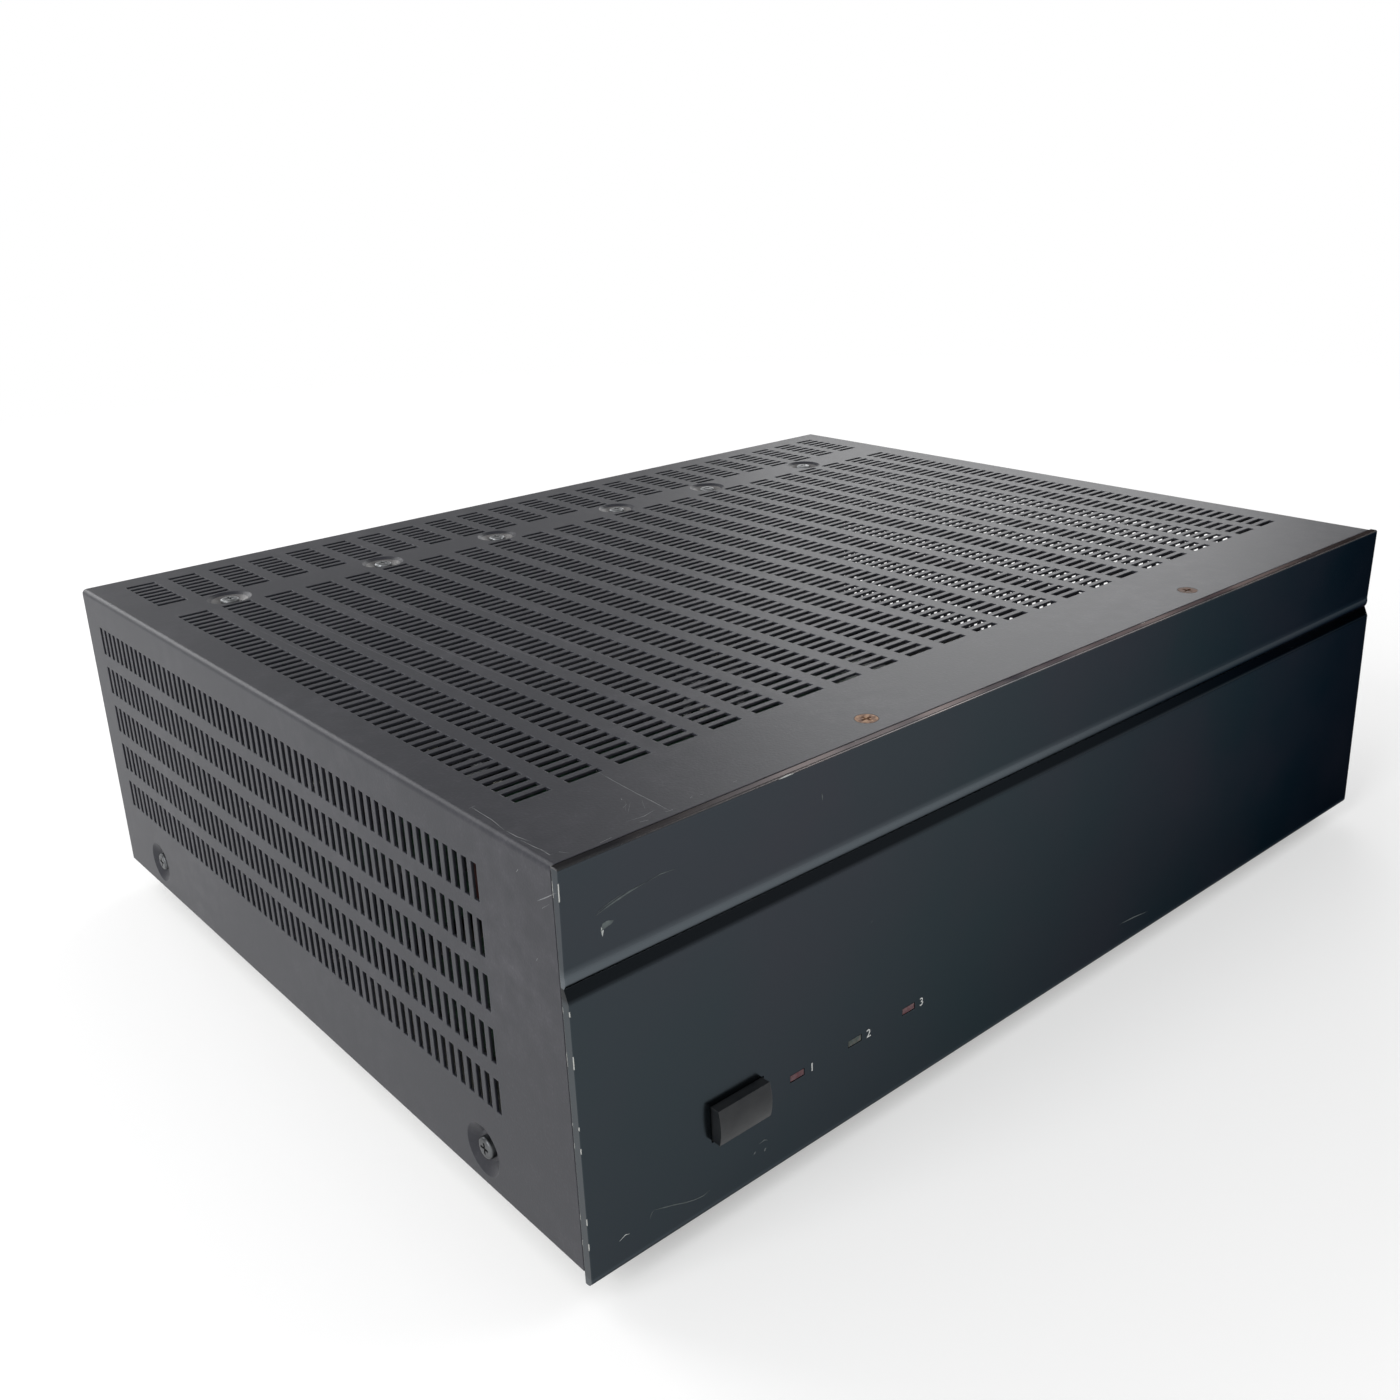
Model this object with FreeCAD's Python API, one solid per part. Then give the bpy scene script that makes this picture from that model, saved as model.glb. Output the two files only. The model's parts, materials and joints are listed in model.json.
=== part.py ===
import FreeCAD, Part
import os
from math import cos, pi, radians, sin, tan

# Multichannel power amplifier: a three-unit casing with a folded vented cover, a flat base,
# a front panel with one push button, and a rear panel with jacks, level knobs and terminals.
# Frame: X to the right seen from the front, Y to the rear, Z up. The origin is on the floor,
# under the centre of the whole amplifier. All sizes are in millimetres.

V = FreeCAD.Vector

# Casing
width = 440.0
cover_depth = 350.0
cover_height = 128.5
cover_sheet = 0.9
fold_radius = 2.0
base_sheet = 1.5
bracket_sheet = 1.5
rear_sheet = 1.5
side_fit = 0.3
foot_height = 12.0

# Vent slots, all punched with one tool
slot_length = 12.1
slot_width = 2.8
slot_pitch = 5.0
column_pitch = 18.15
columns_margin = 11.0
slots_from_front = 38.5
slots_from_rear = 13.5
top_rear_rows = 8
band_margin = 0.45
side_row_pitch = 17.75
side_rows_from_top = 13.5
side_rows_margin = 24.0
side_slots_from_rear = 14.0
field_margin = 0.3

# Pressed dishes that hold the cover's pan-head screws
dish_radius = 9.0
dish_floor_radius = 5.0
dish_depth = 2.5
dish_rim = 0.6
side_dish_height = 12.2
side_dish_front = 50.6
side_dish_from_rear = 38.7

# Front panel
panel_drop = 4.0
panel_thickness = 3.1
panel_gap = 0.4
band_height = 35.5
band_top_setback = 0.2
band_foot_setback = 1.0
groove_depth = 1.7
groove_slope = 4.0
groove_bulge = 0.5
panel_top_round = 0.8
panel_foot_round = 2.4

# Power button, in the middle of its opening
button_width = 20.5
button_height = 12.0
button_crown = 0.9
button_proud = 4.0
button_from_left = 56.5
button_above_foot = 30.7
button_travel = 3.0
button_clearance = 0.4
button_skirt = 1.0
stem_size = 5.0
stem_length = 14.0
stem_clearance = 0.3

# Indicator lamps
lamp_width = 5.8
lamp_height = 2.1
lamp_pitch = 25.7
lamp_from_left = 81.2
lamp_above_foot = 30.0
lamp_clearance = 0.2
lamp_recess = 0.2
lamp_board_gap = 5.0
lamp_board_end = 4.4
lamp_board_height = 16.0

# Screws
thread_fit = 0.05
small_shank = 1.45
small_head = 2.8
small_head_height = 1.9
small_pass_gap = 0.25
chassis_screw_length = 4.0
panel_screw_length = 3.0
panel_screw_inset = 30.0
panel_screw_low = 14.0
panel_screw_high = 24.0
screw_tip_gap = 0.2
board_screw_length = 6.0
cover_shank = 1.95
cover_pass_gap = 0.3
cover_head = 3.75
cover_head_height = 2.2
cover_screw_length = 8.0
sunk_head = 3.75
sunk_gap = 0.15
sunk_rim = 1.0
sunk_press = 0.3
sunk_screw_length = 7.0
sunk_from_front = 9.3
sunk_from_left = 126.0
sunk_spacing = 182.0
recess_width = 0.9
recess_span = 4.2
recess_depth = 1.1
head_round = 0.45

# Front bracket and rear panel lips
lip_depth = 18.0
foot_lip_depth = 13.0
base_flange_height = 26.0
base_end_fit = 0.1
lip_screw_inset = 50.0

# Heatsink modules, each under two of the cover's dishes
sink_count = 3
sink_gap = 6.0
sink_left_gap = 13.0
sink_right_gap = 40.0
sink_screw_spacing = 71.0
sink_wall = 6.0
sink_lip = 5.0
sink_wall_offset = 5.5
sink_lip_front = 9.5
sink_lip_rear = 9.5
fin_length = 24.0
fin_thickness = 2.2
fin_pitch = 9.0
fin_first = 6.0

# Circuit boards
board = 1.6
board_lift = 8.5
standoff_radius = 3.0
board_margin = 6.0
amp_board_gap = 2.5
amp_board_toroid_gap = 16.0
power_board_from_left = 30.0
power_board_toroid_gap = 36.0
power_board_front = 46.0
power_board_rear_gap = 20.0
jack_board_gap = 13.5
jack_board_foot = 8.0
jack_board_top_gap = 16.5
jack_board_margin = 6.0

# Parts on the amplifier boards
chips_per_sink = 4
chip_end_margin = 19.0
chip_width = 20.0
chip_thickness = 4.8
chip_body_height = 18.0
chip_lift = 14.0
chip_leads_width = 15.0
chip_leads = 0.6
chip_screw_rise = 13.0
relays_per_board = 2
relay_size = (20.0, 16.0, 16.0)
relay_pitch = 52.0
relay_from_front = 30.0
relay_edge = 0.8

# Parts on the power board
capacitor_radius = 15.0
capacitor_height = 46.0
capacitor_pitch = 36.0
capacitor_count = 4
capacitor_edge = 1.5
capacitor_from_left = 40.0
capacitor_from_rear = 46.0
rectifier_size = (28.0, 6.0, 22.0)
rectifier_count = 2
rectifier_pitch = 44.0
rectifier_ahead = 32.0

# Toroidal transformer
toroid_radius = 64.0
toroid_hole = 20.0
toroid_height = 60.0
toroid_round = 12.0
toroid_from_right = 95.0
toroid_from_front = 98.0
pad_thickness = 2.5
washer_radius = 44.0
washer_sheet = 2.0
washer_dish = 3.0
washer_well_gap = 3.0
washer_pass_gap = 0.35
bolt_shank = 3.95
bolt_head = 7.0
bolt_head_height = 5.3
clinch_radius = 7.5
clinch_height = 5.0

# Mains switch behind the button
switch_width = 26.0
switch_height = 18.0
switch_length = 32.0
switch_ear_width = 40.0
switch_ear_height = 24.0
switch_ear = 1.5
switch_front_gap = 1.5
switch_wall = 2.0
switch_ear_hole_spacing = 32.0
terminal_size = (6.3, 8.0, 0.8)
terminal_spacing = 10.0

# Rear zones: two input jacks, two level knobs and one speaker header each
zone_count = 6
zone_margin = 8.0
rear_block_width = 120.0
pair_spacing = 18.0
jack_row_from_top = 38.5
knob_row_drop = 30.0
header_height = 30.0
jack_body = 12.0
jack_radius = 4.15
jack_wall = 0.7
jack_length = 9.0
jack_pin_hole = 1.65
jack_collar = 0.35
jack_panel_gap = 0.2
jack_pin_depth = 7.5
jack_core_setback = 1.0
bus_from_right = 90.0

# Level knobs and their potentiometers
knob_radius = 5.6
knob_length = 9.5
knob_gap = 0.5
knob_flutes = 18
knob_flute_radius = 0.7
knob_flute_lift = 0.3
knob_rim_round = 0.7
knob_pointer_start = 1.0
knob_pointer_width = 1.0
knob_pointer_depth = 0.8
shaft_radius = 3.0
shaft_depth = 5.0
shaft_clearance = 0.05
shaft_panel_gap = 0.6
pot_size = 10.0
pot_panel_gap = 1.0

# Speaker headers
header_width = 23.0
header_body_height = 12.5
header_proud = 1.5
header_wall = 1.4
header_cavity_depth = 10.0
header_fit = 0.3
header_poles = 4
header_pin_pitch = 5.08
header_pin = 1.0
header_pin_length = 8.0

# Trigger jacks
trigger_from_right = 96.0
trigger_spacing = 13.0
trigger_height = 30.0
trigger_radius = 3.0
trigger_bore = 1.8
trigger_bore_depth = 14.0
trigger_proud = 3.0
trigger_body = 9.0
trigger_fit = 0.3

# Mode switch
mode_from_right = 42.0
mode_height = 78.0
mode_body_width = 22.0
mode_body_height = 10.0
mode_body_depth = 8.0
mode_travel = 3.0
mode_nub_width = 4.0
mode_nub_height = 4.2
mode_nub_proud = 2.5
mode_clearance = 0.3
mode_wall = 1.2
mode_legs_width = 18.0
mode_plate = 2.0

# Mains inlet
inlet_from_right = 42.0
inlet_height = 34.0
inlet_flange_width = 50.0
inlet_flange_height = 24.0
inlet_flange = 3.0
inlet_body_width = 27.6
inlet_body_height = 19.8
inlet_body_depth = 20.0
inlet_wall = 1.6
inlet_cavity_depth = 17.0
inlet_corner = 4.0
inlet_fit = 0.4
inlet_hole_spacing = 40.0
inlet_pin_width = 4.0
inlet_pin_thickness = 2.0
inlet_pin_length = 13.0
inlet_pin_spacing = 7.0
inlet_earth_rise = 3.8

# Feet
foot_radius = 12.0
foot_taper = 1.5
foot_inset_side = 40.0
foot_inset_front = 38.0
foot_inset_rear = 24.0
foot_floor = 5.0
foot_recess_radius = 4.5
foot_screw_length = 9.0

# Wiring inside
mains_cable = 3.0
power_cable = 3.0
signal_cable = 2.0
signal_bend = 4.5
mains_side_gap = 10.0
mains_front_gap = 17.0
mains_lift = 14.0
wire_bend = 9.0
wire_end = 12.0
wire_step = 8.0

# Base vents under the heatsinks
base_vent_end = 5.0
base_vent_length = 24.0
base_vent_pitch = 8.0
base_vent_gap = 2.0

# How far each cutting shape runs past what it cuts
past = 1.0

# Levels and planes worked out from the sizes above
left = -width / 2
right = width / 2
floor_z = foot_height
top_z = floor_z + cover_height
panel_foot_z = floor_z - panel_drop
panel_proud = panel_gap + panel_thickness
front_reach = panel_proud + button_proud
rear_reach = max(jack_length, knob_gap + knob_length)
cover_front = front_reach - (front_reach + cover_depth + rear_reach) / 2
cover_rear = cover_front + cover_depth
panel_back = cover_front - panel_gap
panel_front = panel_back - panel_thickness
bracket_back = panel_back + bracket_sheet
rear_inner = cover_rear - rear_sheet
under_cover = top_z - cover_sheet
dish_seat = dish_depth + cover_sheet
inner_left = left + cover_sheet + side_fit
inner_right = -inner_left
base_side = width / 2 - dish_seat
base_top = floor_z + base_sheet
board_z = base_top + board_lift
board_top = board_z + board
band_width = 2 * (dish_radius + dish_rim + band_margin)
rear_rows_start = cover_depth - slots_from_rear - (top_rear_rows - 1) * slot_pitch
front_rows_room = rear_rows_start - slot_width - band_width - slots_from_front
top_front_rows = int(front_rows_room / slot_pitch) + 1
main_rows_end = slots_from_front + (top_front_rows - 1) * slot_pitch
band_centre = cover_front + (main_rows_end + rear_rows_start) / 2
top_columns = int((width - 2 * columns_margin) / column_pitch)
side_rows_room = cover_height - side_rows_from_top - slot_length - side_rows_margin
side_rows = int(side_rows_room / side_row_pitch) + 1
side_slots = int((cover_depth - slots_from_front - side_slots_from_rear) / slot_pitch) + 1
sink_front = band_centre - sink_wall_offset
sink_top = top_z - dish_seat
jack_board_y = rear_inner - jack_board_gap - board
button_x = left + button_from_left
button_z = panel_foot_z + button_above_foot
inlet_x = right - inlet_from_right
inlet_z = floor_z + inlet_height
mode_x = right - mode_from_right
mode_z = floor_z + mode_height
toroid_x = right - toroid_from_right
toroid_y = cover_front + toroid_from_front
sink_width = (width - sink_left_gap - sink_right_gap + sink_gap) / sink_count - sink_gap
sink_pitch = sink_width + sink_gap
chip_pitch = (sink_width - 2 * chip_end_margin) / (chips_per_sink - 1)
base_vent_count = int((sink_width - 2 * base_vent_end) / base_vent_pitch)
zone_pitch = (width - zone_margin - rear_block_width) / zone_count
jack_height = cover_height - jack_row_from_top
knob_row_height = jack_height - knob_row_drop
jack_board_height = cover_height - jack_board_foot - jack_board_top_gap
lamp_board_width = 2 * (lamp_pitch + lamp_board_end) + lamp_width
small_hole = small_shank + thread_fit
small_pass = small_shank + small_pass_gap
cover_hole = cover_shank + thread_fit
cover_pass = cover_shank + cover_pass_gap
sunk_hole = sunk_head + sunk_gap
bolt_hole = bolt_shank + thread_fit
washer_bore = bolt_shank + washer_pass_gap
jack_panel_hole = jack_radius + jack_collar + jack_panel_gap
shaft_panel_hole = shaft_radius + shaft_panel_gap
inlet_cavity_width = inlet_body_width - 2 * inlet_wall
inlet_cavity_height = inlet_body_height - 2 * inlet_wall


def box(x0, x1, y0, y1, z0, z1):
    return Part.makeBox(x1 - x0, y1 - y0, z1 - z0, V(x0, y0, z0))


def centred_box(x, z, sx, sz, y0, y1):
    return box(x - sx / 2, x + sx / 2, y0, y1, z - sz / 2, z + sz / 2)


def rod(x, y, z, radius, length, direction):
    return Part.makeCylinder(radius, length, V(x, y, z), direction)


def up(x, y, z, radius, length):
    return rod(x, y, z, radius, length, V(0, 0, 1))


def back(x, y, z, radius, length):
    return rod(x, y, z, radius, length, V(0, 1, 0))


def group(shapes):
    return Part.makeCompound(shapes)


def closed_wire(points):
    return Part.makePolygon(points + points[:1])


def prism(points, direction):
    return Part.Face(closed_wire(points)).extrude(direction)


def holed_sheet(origin, u, v, reach, slots, rounds, through):
    # a flat sheet in the plane of u and v, with slots (a, b, length along u, length along v)
    # and round holes (a, b, radius), where a and b run along u and v
    def at(a, b):
        return origin + u * a + v * b

    def rectangle(a0, a1, b0, b1):
        return closed_wire([at(a0, b0), at(a1, b0), at(a1, b1), at(a0, b1)])

    holes = []
    for a, b, along_u, along_v in slots:
        holes.append(rectangle(a - along_u / 2, a + along_u / 2, b - along_v / 2, b + along_v / 2))
    for a, b, radius in rounds:
        holes.append(Part.Wire(Part.Edge(Part.Circle(at(a, b), u.cross(v), radius))))
    for hole in holes:
        hole.reverse()
    return Part.Face([rectangle(*reach)] + holes).extrude(through)


def placed(shape, place, turn=None):
    # a copy of a piece made about the origin, turned and moved to its place
    result = shape.copy()
    result.Placement = FreeCAD.Placement(place, turn or FreeCAD.Rotation())
    return result


facing_down = FreeCAD.Rotation(V(1, 0, 0), 180)
facing_front = FreeCAD.Rotation(V(1, 0, 0), 90)
facing_back = FreeCAD.Rotation(V(1, 0, 0), -90)
facing_left = FreeCAD.Rotation(V(0, 1, 0), -90)
facing_right = FreeCAD.Rotation(V(0, 1, 0), 90)


def cross_recess(top):
    half = recess_span / 2
    low = top - recess_depth
    wide = box(-half, half, -recess_width / 2, recess_width / 2, low, top + past)
    long = box(-recess_width / 2, recess_width / 2, -half, half, low, top + past)
    return wide.fuse(long)


def pan_screw(shank, length, head, head_height):
    # a cross-head screw standing on its seat at z = 0, its head above and its shank below
    body = up(0, 0, 0, head, head_height)
    rim = [edge for edge in body.Edges if edge.BoundBox.ZMin > head_height / 2]
    body = body.makeFillet(head_height * head_round, rim)
    screw = body.fuse(up(0, 0, -length, shank, length))
    return screw.cut(cross_recess(head_height))


def sunk_screw():
    # a flush countersunk screw whose flat top is at z = 0
    cone_height = sunk_head - small_shank
    head = Part.makeCone(small_shank, sunk_head, cone_height, V(0, 0, -cone_height))
    screw = head.fuse(up(0, 0, -sunk_screw_length, small_shank, sunk_screw_length - cone_height))
    return screw.cut(cross_recess(0))


def dish_ring():
    # one pressed dish about the origin, its rim flush with z = 0 and its floor dish_depth lower
    outer = dish_radius + dish_rim
    slope_run = dish_radius - dish_floor_radius
    lower_floor = dish_floor_radius + dish_rim
    profile = [
        V(cover_pass, 0, -dish_depth),
        V(dish_floor_radius, 0, -dish_depth),
        V(dish_floor_radius + slope_run, 0, 0),
        V(outer, 0, 0),
        V(outer, 0, -cover_sheet),
        V(lower_floor, 0, -dish_seat),
        V(cover_pass, 0, -dish_seat),
    ]
    return Part.Face(closed_wire(profile)).revolve(V(0, 0, 0), V(0, 0, 1), 360)


def sink_centres():
    first = left + sink_left_gap + sink_width / 2
    return [first + sink_pitch * index for index in range(sink_count)]


def top_dish_places():
    places = []
    for centre in sink_centres():
        for side in (-1, 1):
            places.append(V(centre + side * sink_screw_spacing / 2, band_centre, top_z))
    return places


def side_dish_places():
    places = []
    for distance in (side_dish_front, cover_depth - side_dish_from_rear):
        places.append(V(0, cover_front + distance, floor_z + side_dish_height))
    return places


def sunk_places():
    y = cover_front + sunk_from_front
    first = left + sunk_from_left
    return [V(first, y, top_z), V(first + sunk_spacing, y, top_z)]


def slot_rows(first, count):
    return [cover_front + first + slot_pitch * index for index in range(count)]


def side_slot_places():
    highest = top_z - side_rows_from_top - slot_length / 2
    heights = [highest - side_row_pitch * index for index in range(side_rows)]
    return [(y, z, slot_width, slot_length) for y in slot_rows(slots_from_front, side_slots)
            for z in heights]


def fold(side):
    # the rounded fold between the top and one side
    centre_x = side * (width / 2 - fold_radius)
    centre = V(centre_x, cover_front, top_z - fold_radius)
    outer = Part.makeCylinder(fold_radius, cover_depth, centre, V(0, 1, 0))
    inner = Part.makeCylinder(fold_radius - cover_sheet, cover_depth, centre, V(0, 1, 0))
    reach = sorted((centre_x, centre_x + side * fold_radius))
    quarter = box(reach[0], reach[1], cover_front, cover_rear, centre.z, top_z)
    return outer.cut(inner).common(quarter)


def sunk_ring():
    # one countersink, pressed a little below the sheet so that it rests on the lip under it
    depth = cover_sheet + sunk_press
    outer = sunk_hole + sunk_rim
    profile = [
        V(sunk_hole, 0, 0),
        V(outer, 0, 0),
        V(outer, 0, -cover_sheet),
        V(outer - sunk_press, 0, -depth),
        V(sunk_hole - depth, 0, -depth),
    ]
    return Part.Face(closed_wire(profile)).revolve(V(0, 0, 0), V(0, 0, 1), 360)


def top_sheet(x0, x1, y0, y1, slots, rounds):
    return holed_sheet(V(0, 0, top_z), V(1, 0, 0), V(0, 1, 0), (x0, x1, y0, y1), slots, rounds,
                       V(0, 0, -cover_sheet))


def slot_field(rows):
    # one field of slots, as a strip of sheet for each column
    x_end = width / 2 - fold_radius
    y0 = rows[0] - slot_width / 2 - field_margin
    y1 = rows[-1] + slot_width / 2 + field_margin
    strips = []
    for index in range(top_columns):
        x = column_pitch * (index - (top_columns - 1) / 2)
        x0 = -x_end if index == 0 else x - column_pitch / 2
        x1 = x_end if index == top_columns - 1 else x + column_pitch / 2
        slots = [(x, y, slot_length, slot_width) for y in rows]
        strips.append(top_sheet(x0, x1, y0, y1, slots, []))
    return strips, y0, y1


def top_cover():
    x_end = width / 2 - fold_radius
    front_field, field_front, band_front = slot_field(slot_rows(slots_from_front, top_front_rows))
    rear_field, band_rear, field_rear = slot_field(slot_rows(rear_rows_start, top_rear_rows))
    sunk = [(place.x, place.y, sunk_hole + sunk_rim) for place in sunk_places()]
    dishes = [(place.x, place.y, dish_radius + dish_rim) for place in top_dish_places()]
    pieces = front_field + rear_field + [fold(-1), fold(1)]
    pieces.append(top_sheet(-x_end, x_end, cover_front, field_front, [], sunk))
    pieces.append(top_sheet(-x_end, x_end, band_front, band_rear, [], dishes))
    pieces.append(top_sheet(-x_end, x_end, field_rear, cover_rear, [], []))
    pieces += [placed(sunk_ring(), place) for place in sunk_places()]
    pieces += [placed(dish_ring(), place) for place in top_dish_places()]
    rounds = [(place.y, place.z, dish_radius + dish_rim) for place in side_dish_places()]
    reach = (cover_front, cover_rear, floor_z, top_z - fold_radius)
    for side, turn in ((-1, facing_left), (1, facing_right)):
        face = V(side * width / 2, 0, 0)
        inward = V(-side * cover_sheet, 0, 0)
        pieces.append(holed_sheet(face, V(0, 1, 0), V(0, 0, 1), reach, side_slot_places(), rounds, inward))
        pieces += [placed(dish_ring(), face + place, turn) for place in side_dish_places()]
    return pieces[0].multiFuse(pieces[1:])


def panel_outline():
    # closed profile of the front panel in the Y-Z plane, from the foot of its back
    front = panel_front
    band_foot = top_z - band_height
    band_top_y = front + band_top_setback
    band_foot_y = front + band_foot_setback
    groove_y = front + groove_depth
    shoulder = band_foot + groove_slope
    p1 = V(0, panel_back, panel_foot_z)
    p2 = V(0, front + panel_foot_round, panel_foot_z)
    p3 = V(0, front, panel_foot_z + panel_foot_round)
    p4 = V(0, front, band_foot - groove_slope)
    p5 = V(0, groove_y, band_foot)
    p6 = V(0, band_foot_y, shoulder)
    p7 = V(0, band_top_y, top_z - panel_top_round)
    p8 = V(0, band_top_y + panel_top_round, top_z)
    p9 = V(0, panel_back, top_z)
    foot_bow = panel_foot_round * (1 - sin(pi / 4))
    foot_mid = V(0, front + foot_bow, panel_foot_z + foot_bow)
    top_bow = panel_top_round * (1 - sin(pi / 4))
    top_mid = V(0, band_top_y + top_bow, top_z - top_bow)
    chord = p6 - p5
    bulge = V(0, -chord.z, chord.y).normalize() * groove_bulge
    round_mid = (p5 + p6) / 2 + bulge
    edges = [
        Part.LineSegment(p1, p2),
        Part.Arc(p2, foot_mid, p3),
        Part.LineSegment(p3, p4),
        Part.LineSegment(p4, p5),
        Part.Arc(p5, round_mid, p6),
        Part.LineSegment(p6, p7),
        Part.Arc(p7, top_mid, p8),
        Part.LineSegment(p8, p9),
        Part.LineSegment(p9, p1),
    ]
    return Part.Wire([edge.toShape() for edge in edges])


def lamp_places():
    z = panel_foot_z + lamp_above_foot
    first = left + lamp_from_left
    return [V(first + lamp_pitch * index, 0, z) for index in range(3)]


def panel_screw_places():
    reach = width / 2 - panel_screw_inset
    heights = (panel_foot_z + panel_screw_low, top_z - panel_screw_high)
    return [V(x, bracket_back, z) for z in heights for x in (-reach, 0, reach)]


def front_panel():
    panel = Part.Face(panel_outline()).extrude(V(width, 0, 0))
    panel.translate(V(left, 0, 0))
    opening_x = button_width + 2 * button_clearance
    opening_z = button_height + 2 * button_clearance
    cuts = [centred_box(button_x, button_z, opening_x, opening_z, panel_front - past, panel_back + past)]
    window_x = lamp_width + 2 * lamp_clearance
    window_z = lamp_height + 2 * lamp_clearance
    for place in lamp_places():
        cuts.append(centred_box(place.x, place.z, window_x, window_z,
                                panel_front - past, panel_back + past))
    depth = panel_screw_length - bracket_sheet + screw_tip_gap
    for place in panel_screw_places():
        cuts.append(back(place.x, panel_back - depth, place.z, small_hole, depth + past))
    return panel.cut(group(cuts))


def front_lip_screws():
    reach = width / 2 - lip_screw_inset
    y = bracket_back + foot_lip_depth / 2
    return [V(x, y, floor_z) for x in (-reach, -reach / 3, reach / 3, reach)]


def rear_lip_screws():
    y = rear_inner - foot_lip_depth / 2
    return [V(place.x, y, floor_z) for place in front_lip_screws()]


def corner_notches(y0, y1):
    # squares taken from a plate's upper corners, to clear the cover's folds
    low = under_cover - fold_radius
    return [box(inner_left - past, inner_left + fold_radius, y0, y1, low, under_cover + past),
            box(inner_right - fold_radius, inner_right + past, y0, y1, low, under_cover + past)]


def front_subpanel():
    # steel bracket behind the panel, with a lip under the cover and a lip on the base
    face = box(inner_left, inner_right, panel_back, bracket_back, floor_z, under_cover)
    face = face.cut(group(corner_notches(panel_back - past, bracket_back + past)))
    lip_top = under_cover - sunk_press
    lip = box(inner_left + fold_radius, inner_right - fold_radius, bracket_back,
              bracket_back + lip_depth, lip_top - bracket_sheet, lip_top)
    side = base_side - base_sheet - side_fit
    foot_lip = box(-side, side, bracket_back, bracket_back + foot_lip_depth, base_top,
                   base_top + bracket_sheet)
    body = face.fuse(lip).fuse(foot_lip)
    y0 = panel_back - past
    y1 = bracket_back + past
    opening_x = button_width + 4 * button_clearance
    opening_z = button_height + 4 * button_clearance
    cuts = [centred_box(button_x, button_z, opening_x, opening_z, y0, y1)]
    for place in lamp_places():
        cuts.append(centred_box(place.x, place.z, lamp_width + 4 * lamp_clearance,
                                lamp_height + 4 * lamp_clearance, y0, y1))
    for place in panel_screw_places():
        cuts.append(back(place.x, y0, place.z, small_pass, y1 - y0))
    for place in switch_screw_places():
        cuts.append(back(place.x, y0, place.z, small_hole, y1 - y0))
    for place in front_lip_screws():
        cuts.append(up(place.x, place.y, base_top - past, small_hole, bracket_sheet + 2 * past))
    mouth = sunk_hole - cover_sheet - sunk_press
    depth = mouth - small_hole
    for place in sunk_places():
        cuts.append(Part.makeCone(small_hole, mouth, depth, V(place.x, place.y, lip_top - depth)))
        cuts.append(up(place.x, place.y, lip_top - bracket_sheet - past, small_hole, bracket_sheet + past))
    return body.cut(group(cuts))


def foot_places():
    x = width / 2 - foot_inset_side
    ys = (cover_front + foot_inset_front, cover_rear - foot_inset_rear)
    return [V(side * x, y, 0) for y in ys for side in (-1, 1)]


def sink_screw_places():
    y = sink_front + sink_wall / 2
    places = []
    for centre in sink_centres():
        for side in (-1, 1):
            places.append(V(centre + side * sink_screw_spacing / 2, y, floor_z))
    return places


def base_vents(centre):
    # short slots in the base under one heatsink's fins
    y0 = sink_front + sink_wall + base_vent_gap
    cuts = []
    for index in range(base_vent_count):
        x = centre + (index - (base_vent_count - 1) / 2) * base_vent_pitch
        cuts.append(box(x - slot_width / 2, x + slot_width / 2, y0, y0 + base_vent_length,
                        floor_z - past, base_top + past))
    return cuts


def base_chassis():
    # flat base with a turned-up flange along each side
    y0 = bracket_back + base_end_fit
    y1 = rear_inner - base_end_fit
    x = base_side
    body = box(-x, x, y0, y1, floor_z, base_top)
    for x0, x1 in ((-x, base_sheet - x), (x - base_sheet, x)):
        body = body.fuse(box(x0, x1, y0, y1, floor_z, floor_z + base_flange_height))
    body = body.fuse(up(toroid_x, toroid_y, base_top, clinch_radius, clinch_height))
    cuts = [up(toroid_x, toroid_y, floor_z - past, bolt_hole, clinch_height + base_sheet + 2 * past)]
    for place in side_dish_places():
        cuts.append(rod(-x - past, place.y, place.z, cover_hole, 2 * x + 2 * past, V(1, 0, 0)))
    for place in front_lip_screws() + rear_lip_screws() + sink_screw_places():
        cuts.append(up(place.x, place.y, floor_z - past, small_pass, base_sheet + 2 * past))
    for place in foot_places():
        cuts.append(up(place.x, place.y, floor_z - past, small_hole, base_sheet + 2 * past))
    for centre in sink_centres():
        cuts += base_vents(centre)
    return body.cut(group(cuts))


def zone_centres():
    first = left + zone_margin + zone_pitch / 2
    return [first + zone_pitch * index for index in range(zone_count)]


def pair_places(height):
    places = []
    for centre in zone_centres():
        for side in (-1, 1):
            places.append(V(centre + side * pair_spacing / 2, rear_inner, floor_z + height))
    return places


def rca_places():
    places = pair_places(jack_height)
    for height in (jack_height, knob_row_height):
        for side in (-1, 1):
            x = right - bus_from_right + side * pair_spacing / 2
            places.append(V(x, rear_inner, floor_z + height))
    return places


def knob_places():
    return pair_places(knob_row_height)


def trigger_places():
    first = right - trigger_from_right
    return [V(first + trigger_spacing * index, rear_inner, floor_z + trigger_height) for index in range(2)]


def inlet_screw_places():
    return [V(inlet_x + side * inlet_hole_spacing / 2, cover_rear + inlet_flange, inlet_z)
            for side in (-1, 1)]


def octagon(x, z, sx, sz, corner, y0, y1):
    # the inlet's outline: a rectangle with its two upper corners cut off
    hx = sx / 2
    hz = sz / 2
    points = [V(x - hx, y0, z - hz), V(x + hx, y0, z - hz), V(x + hx, y0, z + hz - corner),
              V(x + hx - corner, y0, z + hz), V(x - hx + corner, y0, z + hz),
              V(x - hx, y0, z + hz - corner)]
    return prism(points, V(0, y1 - y0, 0))


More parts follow.
